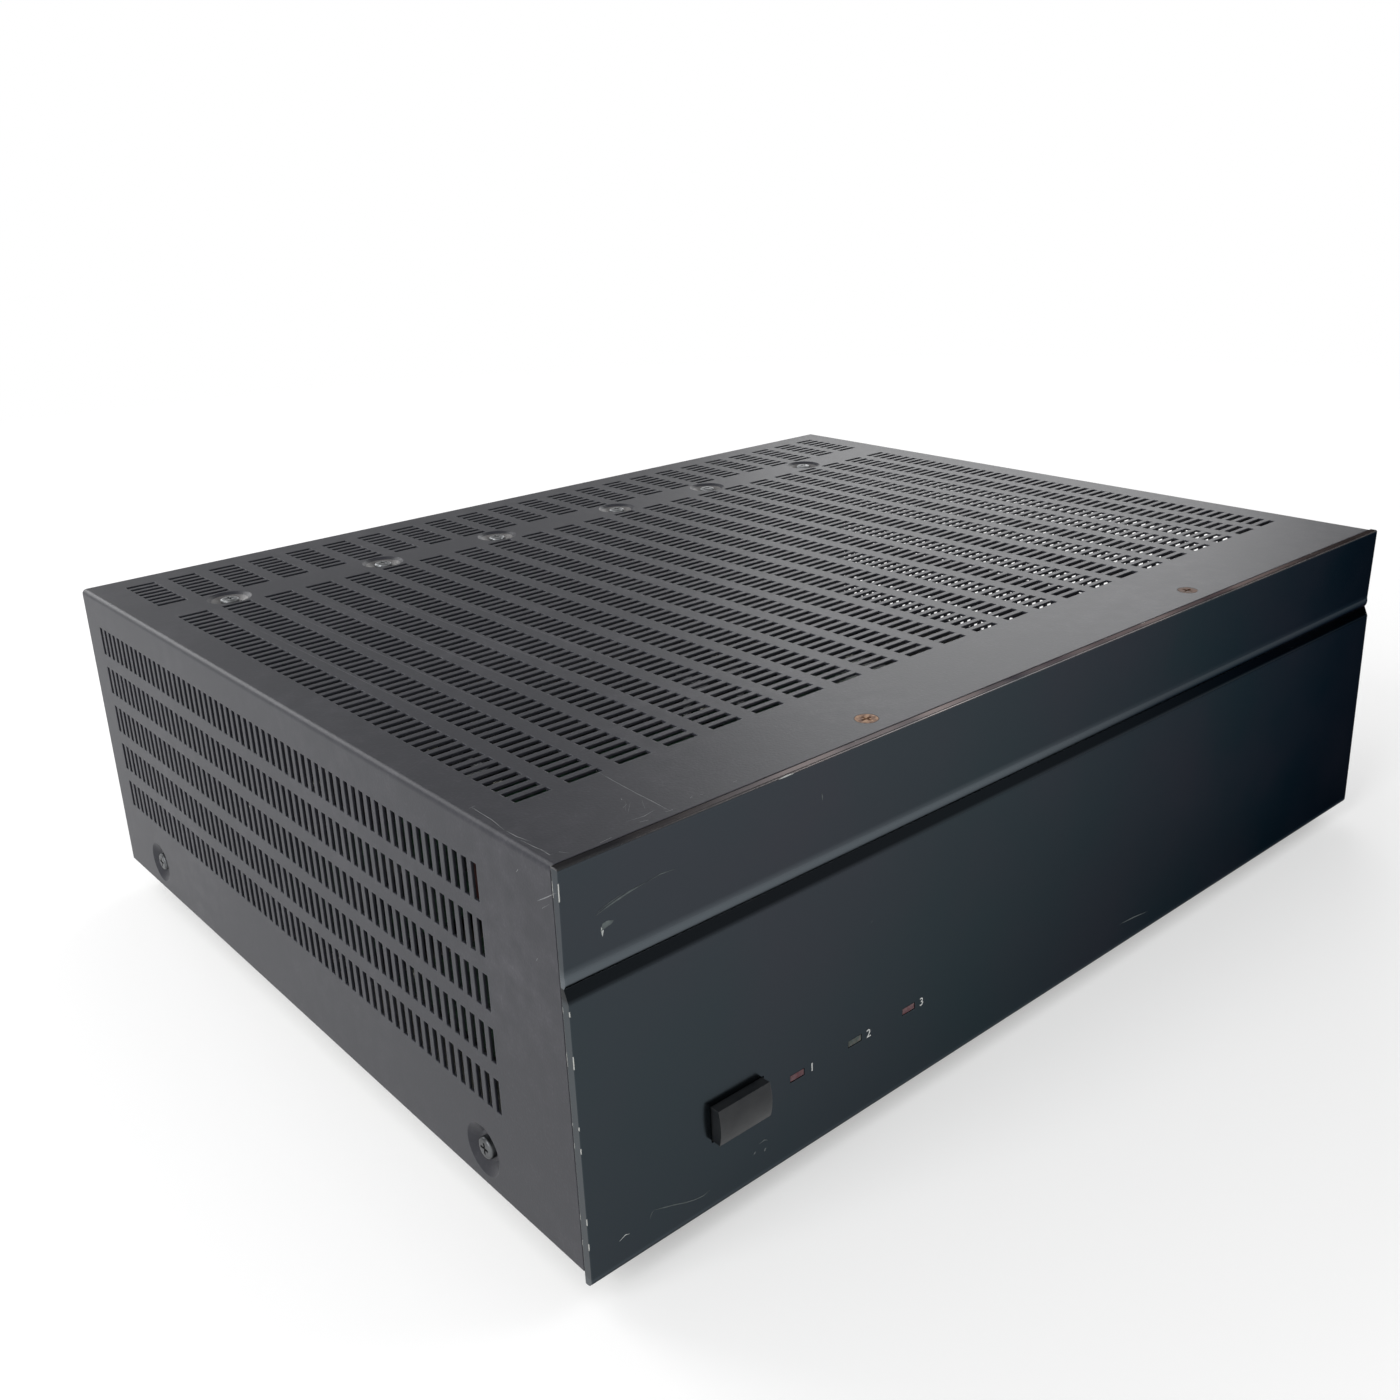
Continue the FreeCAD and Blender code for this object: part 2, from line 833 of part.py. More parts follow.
def rear_panel():
    face = box(inner_left, inner_right, rear_inner, cover_rear, floor_z, under_cover)
    lip = box(inner_left + fold_radius, inner_right - fold_radius, rear_inner - foot_lip_depth / 2,
              rear_inner, under_cover - rear_sheet, under_cover)
    side = base_side - base_sheet - side_fit
    foot_lip = box(-side, side, rear_inner - foot_lip_depth, rear_inner, base_top, base_top + rear_sheet)
    face = face.cut(group(corner_notches(rear_inner - past, cover_rear + past)))
    body = face.fuse(lip).fuse(foot_lip)
    y0 = rear_inner - past
    y1 = cover_rear + past
    cuts = [back(place.x, y0, place.z, jack_panel_hole, y1 - y0) for place in rca_places()]
    for place in knob_places():
        cuts.append(back(place.x, y0, place.z, shaft_panel_hole, y1 - y0))
    for centre in zone_centres():
        cuts.append(centred_box(centre, floor_z + header_height, header_width + 2 * header_fit,
                                header_body_height + 2 * header_fit, y0, y1))
    for place in trigger_places():
        cuts.append(back(place.x, y0, place.z, trigger_radius + trigger_fit, y1 - y0))
    window = mode_nub_width + 2 * mode_travel + 2 * mode_clearance
    cuts.append(centred_box(mode_x, mode_z, window, mode_nub_height + 2 * mode_clearance, y0, y1))
    cuts.append(octagon(inlet_x, inlet_z, inlet_body_width + 2 * inlet_fit,
                        inlet_body_height + 2 * inlet_fit, inlet_corner, y0, y1))
    for place in inlet_screw_places():
        cuts.append(back(place.x, y0, place.z, small_hole, y1 - y0))
    for place in rear_lip_screws():
        cuts.append(up(place.x, place.y, base_top - past, small_hole, rear_sheet + 2 * past))
    for place in jack_board_screws():
        cuts.append(back(place.x, y0, place.z, small_pass, y1 - y0))
    return body.cut(group(cuts))


def power_button():
    # a cap whose face bulges gently between its top and foot edges, with a square stem behind
    face_y = panel_front - button_proud
    skirt_y = bracket_back + button_skirt
    hz = button_height / 2
    edge_y = face_y + button_crown
    foot = V(0, edge_y, button_z - hz)
    head = V(0, edge_y, button_z + hz)
    edges = [
        Part.Arc(foot, V(0, face_y, button_z), head),
        Part.LineSegment(head, V(0, skirt_y, button_z + hz)),
        Part.LineSegment(V(0, skirt_y, button_z + hz), V(0, skirt_y, button_z - hz)),
        Part.LineSegment(V(0, skirt_y, button_z - hz), foot),
    ]
    cap = Part.Face(Part.Wire([edge.toShape() for edge in edges])).extrude(V(button_width, 0, 0))
    cap.translate(V(button_x - button_width / 2, 0, 0))
    stem = centred_box(button_x, button_z, stem_size, stem_size, skirt_y, skirt_y + stem_length)
    return cap.fuse(stem)


def switch_screw_places():
    reach = switch_ear_hole_spacing / 2
    return [V(button_x + side * reach, bracket_back + switch_ear, button_z) for side in (-1, 1)]


def switch_front():
    return bracket_back + button_skirt + button_travel + switch_front_gap


def mains_switch():
    # two fixing ears on the bracket, a sleeve around the button and a box with two terminals
    y0 = bracket_back
    frame = centred_box(button_x, button_z, switch_ear_width, switch_ear_height, y0, y0 + switch_ear)
    front = switch_front()
    box_end = front + switch_length
    body = centred_box(button_x, button_z, switch_width, switch_height, y0, box_end)
    opening_x = button_width + 4 * button_clearance
    opening_z = button_height + 4 * button_clearance
    stem_room = stem_size + 2 * stem_clearance
    cavity_depth = stem_length - switch_front_gap + switch_wall
    cuts = [centred_box(button_x, button_z, opening_x, opening_z, y0 - past, front)]
    cuts.append(centred_box(button_x, button_z, stem_room, stem_room, front - past, front + cavity_depth))
    for place in switch_screw_places():
        cuts.append(back(place.x, y0 - past, place.z, small_pass, switch_ear + 2 * past))
    switch = frame.fuse(body).cut(group(cuts))
    for side in (-1, 1):
        x = button_x + side * terminal_spacing / 2
        switch = switch.fuse(centred_box(x, button_z, terminal_size[0], terminal_size[2],
                                         box_end, box_end + terminal_size[1]))
    return switch


def lamp(place):
    # a flat-faced lamp that reaches from just behind the panel's face to its board
    y0 = panel_front + lamp_recess
    return centred_box(place.x, place.z, lamp_width, lamp_height, y0, bracket_back + lamp_board_gap)


def lamp_board_centre():
    places = lamp_places()
    return (places[0].x + places[-1].x) / 2


def lamp_board_screws():
    y = bracket_back + lamp_board_gap + board
    return [V(place.x + lamp_pitch / 2, y, place.z) for place in lamp_places()[:-1]]


def led_board():
    y0 = bracket_back + lamp_board_gap
    plate = centred_box(lamp_board_centre(), lamp_places()[0].z, lamp_board_width, lamp_board_height,
                        y0, y0 + board)
    holes = [back(place.x, y0 - past, place.z, small_pass, board + 2 * past)
             for place in lamp_board_screws()]
    return plate.cut(group(holes))


def transformer():
    # a wound ring with rounded edges, stood on its lower pad
    z0 = base_top + pad_thickness
    z1 = z0 + toroid_height
    rectangle = Part.Face(closed_wire([V(toroid_hole, 0, z0), V(toroid_radius, 0, z0),
                                       V(toroid_radius, 0, z1), V(toroid_hole, 0, z1)]))
    ring = rectangle.revolve(V(0, 0, 0), V(0, 0, 1), 360)
    rims = [edge for edge in ring.Edges if isinstance(edge.Curve, Part.Circle)]
    ring = ring.makeFillet(toroid_round, rims)
    ring.translate(V(toroid_x, toroid_y, 0))
    return ring


def pad(z):
    disc = up(toroid_x, toroid_y, z, toroid_radius - toroid_round, pad_thickness)
    return disc.cut(up(toroid_x, toroid_y, z - past, toroid_hole, pad_thickness + 2 * past))


def upper_pad_z():
    return base_top + pad_thickness + toroid_height


def transformer_pads():
    return group([pad(base_top), pad(upper_pad_z())])


def transformer_washer():
    # a steel cap whose middle is pressed down into the ring
    z = upper_pad_z() + pad_thickness
    well = toroid_hole - washer_well_gap
    profile = [V(washer_bore, 0, z - washer_dish), V(well - washer_sheet, 0, z - washer_dish),
               V(well, 0, z), V(washer_radius, 0, z), V(washer_radius, 0, z + washer_sheet),
               V(well - washer_sheet, 0, z + washer_sheet),
               V(well - 2 * washer_sheet, 0, z - washer_dish + washer_sheet),
               V(washer_bore, 0, z - washer_dish + washer_sheet)]
    ring = Part.Face(closed_wire(profile)).revolve(V(0, 0, 0), V(0, 0, 1), 360)
    ring.translate(V(toroid_x, toroid_y, 0))
    return ring


def transformer_bolt():
    seat = upper_pad_z() + pad_thickness - washer_dish + washer_sheet
    points = []
    for index in range(6):
        angle = radians(60 * index)
        points.append(V(toroid_x + bolt_head * cos(angle), toroid_y + bolt_head * sin(angle), seat))
    head = prism(points, V(0, 0, bolt_head_height))
    return head.fuse(up(toroid_x, toroid_y, floor_z, bolt_shank, seat - floor_z))


def amp_board_front():
    return toroid_y + toroid_radius + amp_board_toroid_gap


def amp_board_back():
    return sink_front - amp_board_gap


def corner_places(x0, x1, y0, y1):
    m = board_margin
    return [V(x, y, base_top) for x in (x0 + m, x1 - m) for y in (y0 + m, y1 - m)]


def amp_board_corners(centre):
    y0 = amp_board_front()
    half = sink_width / 2
    return corner_places(centre - half, centre + half, y0, amp_board_back())


def power_board_span():
    x0 = left + power_board_from_left
    x1 = toroid_x - toroid_radius - power_board_toroid_gap
    return x0, x1, cover_front + power_board_front, amp_board_front() - power_board_rear_gap


def power_board_corners():
    return corner_places(*power_board_span())


def standoff_places():
    places = power_board_corners()
    for centre in sink_centres():
        places += amp_board_corners(centre)
    return places


def jack_board_span():
    return inner_left + dish_seat + jack_board_margin, inner_right - dish_seat - jack_board_margin


def jack_board_screws():
    x0, x1 = jack_board_span()
    y = jack_board_y
    low = floor_z + jack_board_foot + board_margin
    high = floor_z + jack_board_foot + jack_board_height - board_margin
    notch = inlet_x - inlet_flange_width / 2 - board_margin
    return [V(x0 + board_margin, y, low), V(notch - board_margin, y, low),
            V(x0 + board_margin, y, high), V(x1 - board_margin, y, high)]


def flat_board(x0, x1, y0, y1, corners):
    plate = box(x0, x1, y0, y1, board_z, board_top)
    holes = [up(place.x, place.y, board_z - past, small_pass, board + 2 * past) for place in corners]
    return plate.cut(group(holes))


def amp_board(centre):
    y0 = amp_board_front()
    half = sink_width / 2
    return flat_board(centre - half, centre + half, y0, amp_board_back(), amp_board_corners(centre))


def power_board():
    return flat_board(*power_board_span(), power_board_corners())


def jack_board():
    # an upright board, cut away around the mains inlet
    x0, x1 = jack_board_span()
    z0 = floor_z + jack_board_foot
    z1 = z0 + jack_board_height
    plate = box(x0, x1, jack_board_y, jack_board_y + board, z0, z1)
    notch_x = inlet_x - inlet_flange_width / 2 - board_margin
    notch_z = inlet_z + inlet_flange_height / 2 + board_margin
    plate = plate.cut(box(notch_x, x1 + past, jack_board_y - past, jack_board_y + board + past,
                          z0 - past, notch_z))
    holes = [back(place.x, jack_board_y - past, place.z, small_pass, board + 2 * past)
             for place in jack_board_screws()]
    return plate.cut(group(holes))


def tube_between(centre, length, direction):
    outer = rod(centre.x, centre.y, centre.z, standoff_radius, length, direction)
    return outer.cut(rod(centre.x, centre.y, centre.z, small_hole, length, direction))


def board_standoffs():
    posts = [tube_between(place, board_lift, V(0, 0, 1)) for place in standoff_places()]
    for place in jack_board_screws():
        start = V(place.x, jack_board_y + board, place.z)
        posts.append(tube_between(start, jack_board_gap, V(0, 1, 0)))
    for place in lamp_board_screws():
        start = V(place.x, bracket_back, place.z)
        posts.append(tube_between(start, lamp_board_gap, V(0, 1, 0)))
    return group(posts)


def chip_places():
    places = []
    for centre in sink_centres():
        for index in range(chips_per_sink):
            x = centre + (index - (chips_per_sink - 1) / 2) * chip_pitch
            places.append(V(x, sink_front, board_top))
    return places


def output_chip(place):
    # a moulded power chip flat against the heatsink, its row of leads down to the board
    y1 = place.y
    y0 = y1 - chip_thickness
    z0 = place.z + chip_lift
    body = box(place.x - chip_width / 2, place.x + chip_width / 2, y0, y1, z0, z0 + chip_body_height)
    lead_y = y0 + chip_thickness / 2
    half = chip_leads_width / 2
    foot_y = y0 - amp_board_gap
    leads = box(place.x - half, place.x + half, lead_y - chip_leads, lead_y, z0 - chip_lift / 2, z0)
    jog = box(place.x - half, place.x + half, foot_y, lead_y, z0 - chip_lift / 2 - chip_leads,
              z0 - chip_lift / 2)
    foot = box(place.x - half, place.x + half, foot_y, foot_y + chip_leads, place.z,
               z0 - chip_lift / 2)
    hole = back(place.x, y0 - past, z0 + chip_screw_rise, small_pass, chip_thickness + 2 * past)
    return body.fuse(leads).fuse(jog).fuse(foot).cut(hole)


def chip_screw_places():
    z = chip_lift + chip_screw_rise
    return [V(place.x, place.y - chip_thickness, place.z + z) for place in chip_places()]


def output_chips():
    return group([output_chip(place) for place in chip_places()])


def heatsink(centre):
    # one extrusion: an upright wall, a thick lip under the cover's band and rows of fins behind
    y0 = sink_front
    y1 = y0 + sink_wall
    x0 = centre - sink_width / 2
    x1 = centre + sink_width / 2
    z_lip = sink_top - sink_lip
    wall = box(x0, x1, y0, y1, base_top, z_lip)
    lip = box(x0, x1, band_centre - sink_lip_front, band_centre + sink_lip_rear, z_lip, sink_top)
    shapes = [lip]
    z = base_top + fin_first
    while z + fin_thickness < z_lip - fin_first:
        shapes.append(box(x0, x1, y1, y1 + fin_length, z, z + fin_thickness))
        z += fin_pitch
    cuts = []
    top_depth = cover_screw_length - cover_sheet + screw_tip_gap
    foot_depth = chassis_screw_length - base_sheet + screw_tip_gap
    for side in (-1, 1):
        x = centre + side * sink_screw_spacing / 2
        cuts.append(up(x, band_centre, sink_top - top_depth, cover_hole, top_depth + past))
        cuts.append(up(x, y0 + sink_wall / 2, base_top - past, small_hole, foot_depth + past))
    for place in chip_screw_places():
        if x0 < place.x < x1:
            cuts.append(back(place.x, y0 - past, place.z, small_hole, sink_wall + 2 * past))
    return wall.multiFuse(shapes).cut(group(cuts))


def protection_relays():
    boxes = []
    sx, sy, sz = relay_size
    for centre in sink_centres():
        for index in range(relays_per_board):
            x = centre + (index - (relays_per_board - 1) / 2) * relay_pitch
            y = amp_board_front() + relay_from_front
            case = box(x - sx / 2, x + sx / 2, y - sy / 2, y + sy / 2, board_top, board_top + sz)
            upright = [edge for edge in case.Edges if edge.BoundBox.ZLength > sz / 2]
            boxes.append(case.makeFillet(relay_edge, upright))
    return group(boxes)


def capacitor_places():
    x0, _, _, y1 = power_board_span()
    x = x0 + capacitor_from_left
    return [V(x + capacitor_pitch * index, y1 - capacitor_from_rear, board_top)
            for index in range(capacitor_count)]


def filter_capacitors():
    cans = []
    for place in capacitor_places():
        can = up(place.x, place.y, place.z, capacitor_radius, capacitor_height)
        rim = [edge for edge in can.Edges if edge.BoundBox.ZMin > place.z + capacitor_height / 2]
        cans.append(can.makeFillet(capacitor_edge, rim))
    return group(cans)


def bridge_rectifiers():
    first = capacitor_places()[0]
    sx, sy, sz = rectifier_size
    cases = []
    for index in range(rectifier_count):
        x = first.x + capacitor_pitch / 2 + rectifier_pitch * index
        y = first.y - rectifier_ahead
        cases.append(box(x - sx / 2, x + sx / 2, y - sy / 2, y + sy / 2, board_top, board_top + sz))
    return group(cases)


def rca_jack_bodies():
    # moulded blocks between the board and the rear panel, each with a plug around its contact
    depth = rear_inner - (jack_board_y + board)
    core_length = rear_sheet + jack_length - jack_core_setback
    blocks = []
    for place in rca_places():
        block = centred_box(place.x, place.z, jack_body, jack_body, rear_inner - depth, rear_inner)
        core = back(place.x, rear_inner, place.z, jack_radius - jack_wall, core_length)
        hole_start = rear_inner + core_length - jack_pin_depth
        hole = back(place.x, hole_start, place.z, jack_pin_hole, jack_pin_depth + 2 * past)
        blocks.append(block.fuse(core).cut(hole))
    return group(blocks)


def rca_jack_barrels():
    # plated sleeves, each with a collar that fills its hole in the rear panel
    sleeves = []
    for place in rca_places():
        length = rear_sheet + jack_length
        collar = back(place.x, rear_inner, place.z, jack_radius + jack_collar, rear_sheet)
        sleeve = back(place.x, cover_rear, place.z, jack_radius, jack_length)
        bore = back(place.x, rear_inner - past, place.z, jack_radius - jack_wall, length + 2 * past)
        sleeves.append(collar.fuse(sleeve).cut(bore))
    return group(sleeves)


def level_pots():
    y0 = jack_board_y + board
    y1 = rear_inner - pot_panel_gap
    cases = []
    for place in knob_places():
        case = centred_box(place.x, place.z, pot_size, pot_size, y0, y1)
        bore = back(place.x, y1 - shaft_depth - past, place.z, shaft_radius + shaft_clearance,
                    shaft_depth + 2 * past)
        cases.append(case.cut(bore))
    return group(cases)


def level_knob():
    # a fluted knob with its shaft, made about the origin with the panel's outer face at y = 0
    y0 = knob_gap
    y1 = knob_gap + knob_length
    knob = back(0, y0, 0, knob_radius, knob_length)
    rim = [edge for edge in knob.Edges if edge.BoundBox.YMin > (y0 + y1) / 2]
    knob = knob.makeFillet(knob_rim_round, rim)
    cuts = []
    for index in range(knob_flutes):
        angle = 2 * pi * (index + 0.5) / knob_flutes
        x = (knob_radius + knob_flute_lift) * cos(angle)
        z = (knob_radius + knob_flute_lift) * sin(angle)
        cuts.append(back(x, y0 - past, z, knob_flute_radius, knob_length + 2 * past))
    half = knob_pointer_width / 2
    cuts.append(box(-half, half, y1 - knob_pointer_depth, y1 + past,
                    knob_pointer_start, knob_radius + past))
    shaft_start = -rear_sheet - pot_panel_gap - shaft_depth
    shaft = back(0, shaft_start, 0, shaft_radius, y0 - shaft_start)
    return knob.cut(group(cuts)).fuse(shaft)


def speaker_headers():
    y0 = jack_board_y + board
    y1 = cover_rear + header_proud
    z = floor_z + header_height
    shells = []
    for centre in zone_centres():
        shell = centred_box(centre, z, header_width, header_body_height, y0, y1)
        room = centred_box(centre, z, header_width - 2 * header_wall,
                           header_body_height - 2 * header_wall, y1 - header_cavity_depth, y1 + past)
        shells.append(shell.cut(room))
    return group(shells)


def speaker_header_pins():
    y0 = cover_rear + header_proud - header_cavity_depth
    z = floor_z + header_height
    pins = []
    for centre in zone_centres():
        for index in range(header_poles):
            x = centre + (index - (header_poles - 1) / 2) * header_pin_pitch
            pins.append(centred_box(x, z, header_pin, header_pin, y0, y0 + header_pin_length))
    return group(pins)


def trigger_jacks():
    y0 = jack_board_y + board
    jacks = []
    for place in trigger_places():
        case = centred_box(place.x, place.z, trigger_body, trigger_body, y0, rear_inner)
        collar = back(place.x, rear_inner, place.z, trigger_radius, rear_sheet + trigger_proud)
        end = cover_rear + trigger_proud
        bore = back(place.x, end - trigger_bore_depth, place.z, trigger_bore, trigger_bore_depth + past)
        jacks.append(case.fuse(collar).cut(bore))
    return group(jacks)


def mode_switch_body():
    # a small case open towards the panel, in which the slider runs, with legs to its board
    y1 = rear_inner
    y0 = y1 - mode_body_depth
    case = centred_box(mode_x, mode_z, mode_body_width, mode_body_height, y0, y1)
    room_x = mode_slider_width() + 2 * mode_travel + 2 * mode_clearance
    room_z = mode_body_height - 2 * mode_wall
    room_y = y1 - mode_plate - 2 * mode_clearance
    case = case.cut(centred_box(mode_x, mode_z, room_x, room_z, room_y, y1 + past))
    legs = centred_box(mode_x, mode_z, mode_legs_width, mode_wall, jack_board_y + board, y0)
    return case.fuse(legs)


def mode_slider_width():
    return mode_nub_width + 4 * mode_wall


def mode_switch_slider():
    y1 = rear_inner - mode_clearance
    z = mode_body_height - 2 * mode_wall - 2 * mode_clearance
    plate = centred_box(mode_x, mode_z, mode_slider_width(), z, y1 - mode_plate, y1)
    nub = centred_box(mode_x, mode_z, mode_nub_width, mode_nub_height, y1, cover_rear + mode_nub_proud)
    return plate.fuse(nub)


def mains_inlet():
    flange = centred_box(inlet_x, inlet_z, inlet_flange_width, inlet_flange_height,
                         cover_rear, cover_rear + inlet_flange)
    upright = [edge for edge in flange.Edges if edge.BoundBox.YLength > inlet_flange / 2]
    flange = flange.makeFillet(inlet_corner, upright)
    body = octagon(inlet_x, inlet_z, inlet_body_width, inlet_body_height, inlet_corner,
                   cover_rear - inlet_body_depth, cover_rear)
    mouth = cover_rear + inlet_flange
    room = octagon(inlet_x, inlet_z, inlet_cavity_width, inlet_cavity_height, inlet_corner,
                   mouth - inlet_cavity_depth, mouth + past)
    holes = [back(place.x, cover_rear - past, place.z, small_pass, inlet_flange + 2 * past)
             for place in inlet_screw_places()]
    return flange.fuse(body).cut(room).cut(group(holes))


def mains_inlet_pins():
    y0 = cover_rear + inlet_flange - inlet_cavity_depth
    pins = []
    for step, rise in ((-1, 0), (1, 0), (0, inlet_earth_rise)):
        x = inlet_x + step * inlet_pin_spacing
        pins.append(centred_box(x, inlet_z - inlet_earth_rise / 2 + rise, inlet_pin_thickness,
                                inlet_pin_width, y0, y0 + inlet_pin_length))
    return group(pins)


def foot():
    cone = Part.makeCone(foot_radius - foot_taper, foot_radius, foot_height)
    recess = up(0, 0, -past, foot_recess_radius, foot_height - foot_floor + past)
    return cone.cut(recess).cut(up(0, 0, -past, small_pass, foot_height + 2 * past))


def feet():
    return group([placed(foot(), place) for place in foot_places()])


def foot_screws():
    screw = pan_screw(small_shank, foot_screw_length, small_head, small_head_height)
    seat = V(0, 0, foot_height - foot_floor)
    return group([placed(screw, place + seat, facing_down) for place in foot_places()])


def heatsink_screws():
    screw = pan_screw(cover_shank, cover_screw_length, cover_head, cover_head_height)
    seat = V(0, 0, -dish_depth)
    return group([placed(screw, place + seat) for place in top_dish_places()])


def side_screws():
    screw = pan_screw(cover_shank, cover_screw_length, cover_head, cover_head_height)
    seat = width / 2 - dish_depth
    screws = []
    for place in side_dish_places():
        screws.append(placed(screw, V(-seat, place.y, place.z), facing_left))
        screws.append(placed(screw, V(seat, place.y, place.z), facing_right))
    return group(screws)


def front_top_screws():
    return group([placed(sunk_screw(), place) for place in sunk_places()])


def chassis_screws():
    screw = pan_screw(small_shank, chassis_screw_length, small_head, small_head_height)
    screws = []
    for place in front_lip_screws() + rear_lip_screws() + sink_screw_places():
        screws.append(placed(screw, place, facing_down))
    for place in jack_board_screws():
        screws.append(placed(screw, V(place.x, cover_rear, place.z), facing_back))
    short = pan_screw(small_shank, panel_screw_length, small_head, small_head_height)
    for place in panel_screw_places():
        screws.append(placed(short, place, facing_back))
    long = pan_screw(small_shank, board_screw_length, small_head, small_head_height)
    for place in inlet_screw_places():
        screws.append(placed(long, place, facing_back))
    return group(screws)


def board_screws():
    screw = pan_screw(small_shank, board_screw_length, small_head, small_head_height)
    screws = [placed(screw, place + V(0, 0, board_lift + board)) for place in standoff_places()]
    for place in jack_board_screws() + chip_screw_places():
        screws.append(placed(screw, place, facing_front))
    for place in lamp_board_screws():
        screws.append(placed(screw, place, facing_back))
    short = pan_screw(small_shank, panel_screw_length, small_head, small_head_height)
    for place in switch_screw_places():
        screws.append(placed(short, place, facing_back))
    return group(screws)


def cable(points, radius, bend):
    # a round cable along straight runs joined by tangent arcs
    edges = []
    start = points[0]
    for before, corner, after in zip(points, points[1:], points[2:]):
        arrive = (corner - before).normalize()
        leave = (after - corner).normalize()
        turn = arrive.getAngle(leave)
        room = min((corner - before).Length, (after - corner).Length) * 0.45
        cut = min(bend * tan(turn / 2), room)
        arc_radius = cut / tan(turn / 2)
        first = corner - arrive * cut
        last = corner + leave * cut
        inward = (leave - arrive).normalize()
        middle = corner + inward * (arc_radius / cos(turn / 2) - arc_radius)
        edges.append(Part.LineSegment(start, first).toShape())
        edges.append(Part.Arc(first, middle, last).toShape())
        start = last
    edges.append(Part.LineSegment(start, points[-1]).toShape())
    path = Part.Wire(edges)
    heading = (points[1] - points[0]).normalize()
    profile = Part.Wire(Part.Edge(Part.Circle(points[0], heading, radius)))
    solid = path.makePipeShell([profile], True, False)
    expected = pi * radius ** 2 * path.Length
    print("cable", round(path.Length, 1), "long, volume share", round(solid.Volume / expected, 4))
    return solid


def mains_harness():
    # from the back of the inlet, down the right side and along the front to the mains switch
    y_side = cover_rear - inlet_body_depth
    x_side = base_side - base_sheet - mains_side_gap
    z_low = floor_z + mains_lift
    y_front = bracket_back + mains_front_gap
    switch_end = switch_front() + switch_length
    y_turn = switch_end + terminal_size[1] + 2 * wire_end
    x_turn = button_x + switch_ear_width / 2 + wire_end
    points = [
        V(inlet_x, y_side, inlet_z),
        V(inlet_x, y_side - wire_end, inlet_z),
        V(x_side, y_side - 2 * wire_end, z_low),
        V(x_side, y_front, z_low),
        V(x_turn, y_front, z_low),
        V(x_turn, y_turn - wire_end, button_z),
        V(button_x, y_turn, button_z),
        V(button_x, switch_end + terminal_size[1], button_z),
    ]
    return cable(points, mains_cable, wire_bend)


def power_harness():
    # transformer to power board, and power board to each amplifier board
    _, x1, _, y1 = power_board_span()
    z_ring = base_top + pad_thickness + toroid_height / 2
    drop_x = x1 - 2 * board_margin
    cables = [cable([V(toroid_x - toroid_radius, toroid_y, z_ring), V(drop_x, toroid_y, z_ring),
                     V(drop_x, toroid_y, board_top)], power_cable, wire_bend)]
    rise = board_top + 2 * wire_end
    near = y1 - board_margin - power_cable
    far = amp_board_front() + board_margin + power_cable
    for centre in sink_centres():
        start = min(centre, x1 - 2 * board_margin)
        end = max(start + wire_step, centre - sink_width / 2 + 2 * board_margin)
        cables.append(cable([V(start, near, board_top), V(start, near, rise), V(end, far, rise),
                             V(end, far, board_top)], power_cable, wire_bend))
    return group(cables)


def signal_harness():
    # jack board to each amplifier board through the gaps between the heatsinks, and the lamp lead
    y_turn = sink_front - chip_thickness - wire_end
    cables = []
    for index, (centre, side) in enumerate(zip(sink_centres(), (1, 1, -1))):
        x = centre + side * sink_pitch / 2
        x_board = centre + side * (sink_width / 2 - wire_end)
        y = y_turn - wire_step * index
        z = board_top + wire_end + wire_step * index
        cables.append(cable([V(x, jack_board_y, z), V(x, y, z), V(x_board, y, z),
                             V(x_board, y, board_top)], signal_cable, signal_bend))
    _, _, y0, _ = power_board_span()
    lamp_z = lamp_places()[0].z
    start = bracket_back + lamp_board_gap + board
    x = lamp_places()[-1].x
    cables.append(cable([V(x, start, lamp_z), V(x, y0 + board_margin, lamp_z),
                         V(x, y0 + board_margin, board_top)], signal_cable, wire_bend))
    return group(cables)


def all_parts():
    parts = {
        "top_cover": top_cover(),
        "base_chassis": base_chassis(),
        "front_panel": front_panel(),
        "front_subpanel": front_subpanel(),
        "rear_panel": rear_panel(),
        "power_button": power_button(),
        "mains_switch": mains_switch(),
        "led_board": led_board(),
        "transformer": transformer(),
        "transformer_pads": transformer_pads(),
        "transformer_washer": transformer_washer(),
        "transformer_bolt": transformer_bolt(),
        "power_board": power_board(),
        "filter_capacitors": filter_capacitors(),
        "bridge_rectifiers": bridge_rectifiers(),
        "output_chips": output_chips(),
        "protection_relays": protection_relays(),
        "jack_board": jack_board(),
        "rca_jack_bodies": rca_jack_bodies(),
        "rca_jack_barrels": rca_jack_barrels(),
        "speaker_headers": speaker_headers(),
        "speaker_header_pins": speaker_header_pins(),
        "level_pots": level_pots(),
        "trigger_jacks": trigger_jacks(),
        "mode_switch_body": mode_switch_body(),
        "mode_switch_slider": mode_switch_slider(),
        "mains_inlet": mains_inlet(),
        "mains_inlet_pins": mains_inlet_pins(),
        "feet": feet(),
        "foot_screws": foot_screws(),
        "heatsink_screws": heatsink_screws(),
        "side_screws": side_screws(),
        "front_top_screws": front_top_screws(),
        "chassis_screws": chassis_screws(),
        "board_standoffs": board_standoffs(),
        "board_screws": board_screws(),
        "mains_harness": mains_harness(),
        "power_harness": power_harness(),
        "signal_harness": signal_harness(),
    }
    for name, place in zip(("power", "active", "protect"), lamp_places()):
        parts["led_" + name] = lamp(place)
    for name, centre in zip(("left", "middle", "right"), sink_centres()):
        parts["heatsink_" + name] = heatsink(centre)
        parts["amp_board_" + name] = amp_board(centre)
    knob = level_knob()
    for number, place in enumerate(knob_places(), 1):
        parts["level_knob_%02d" % number] = placed(knob, V(place.x, cover_rear, place.z))
    return parts


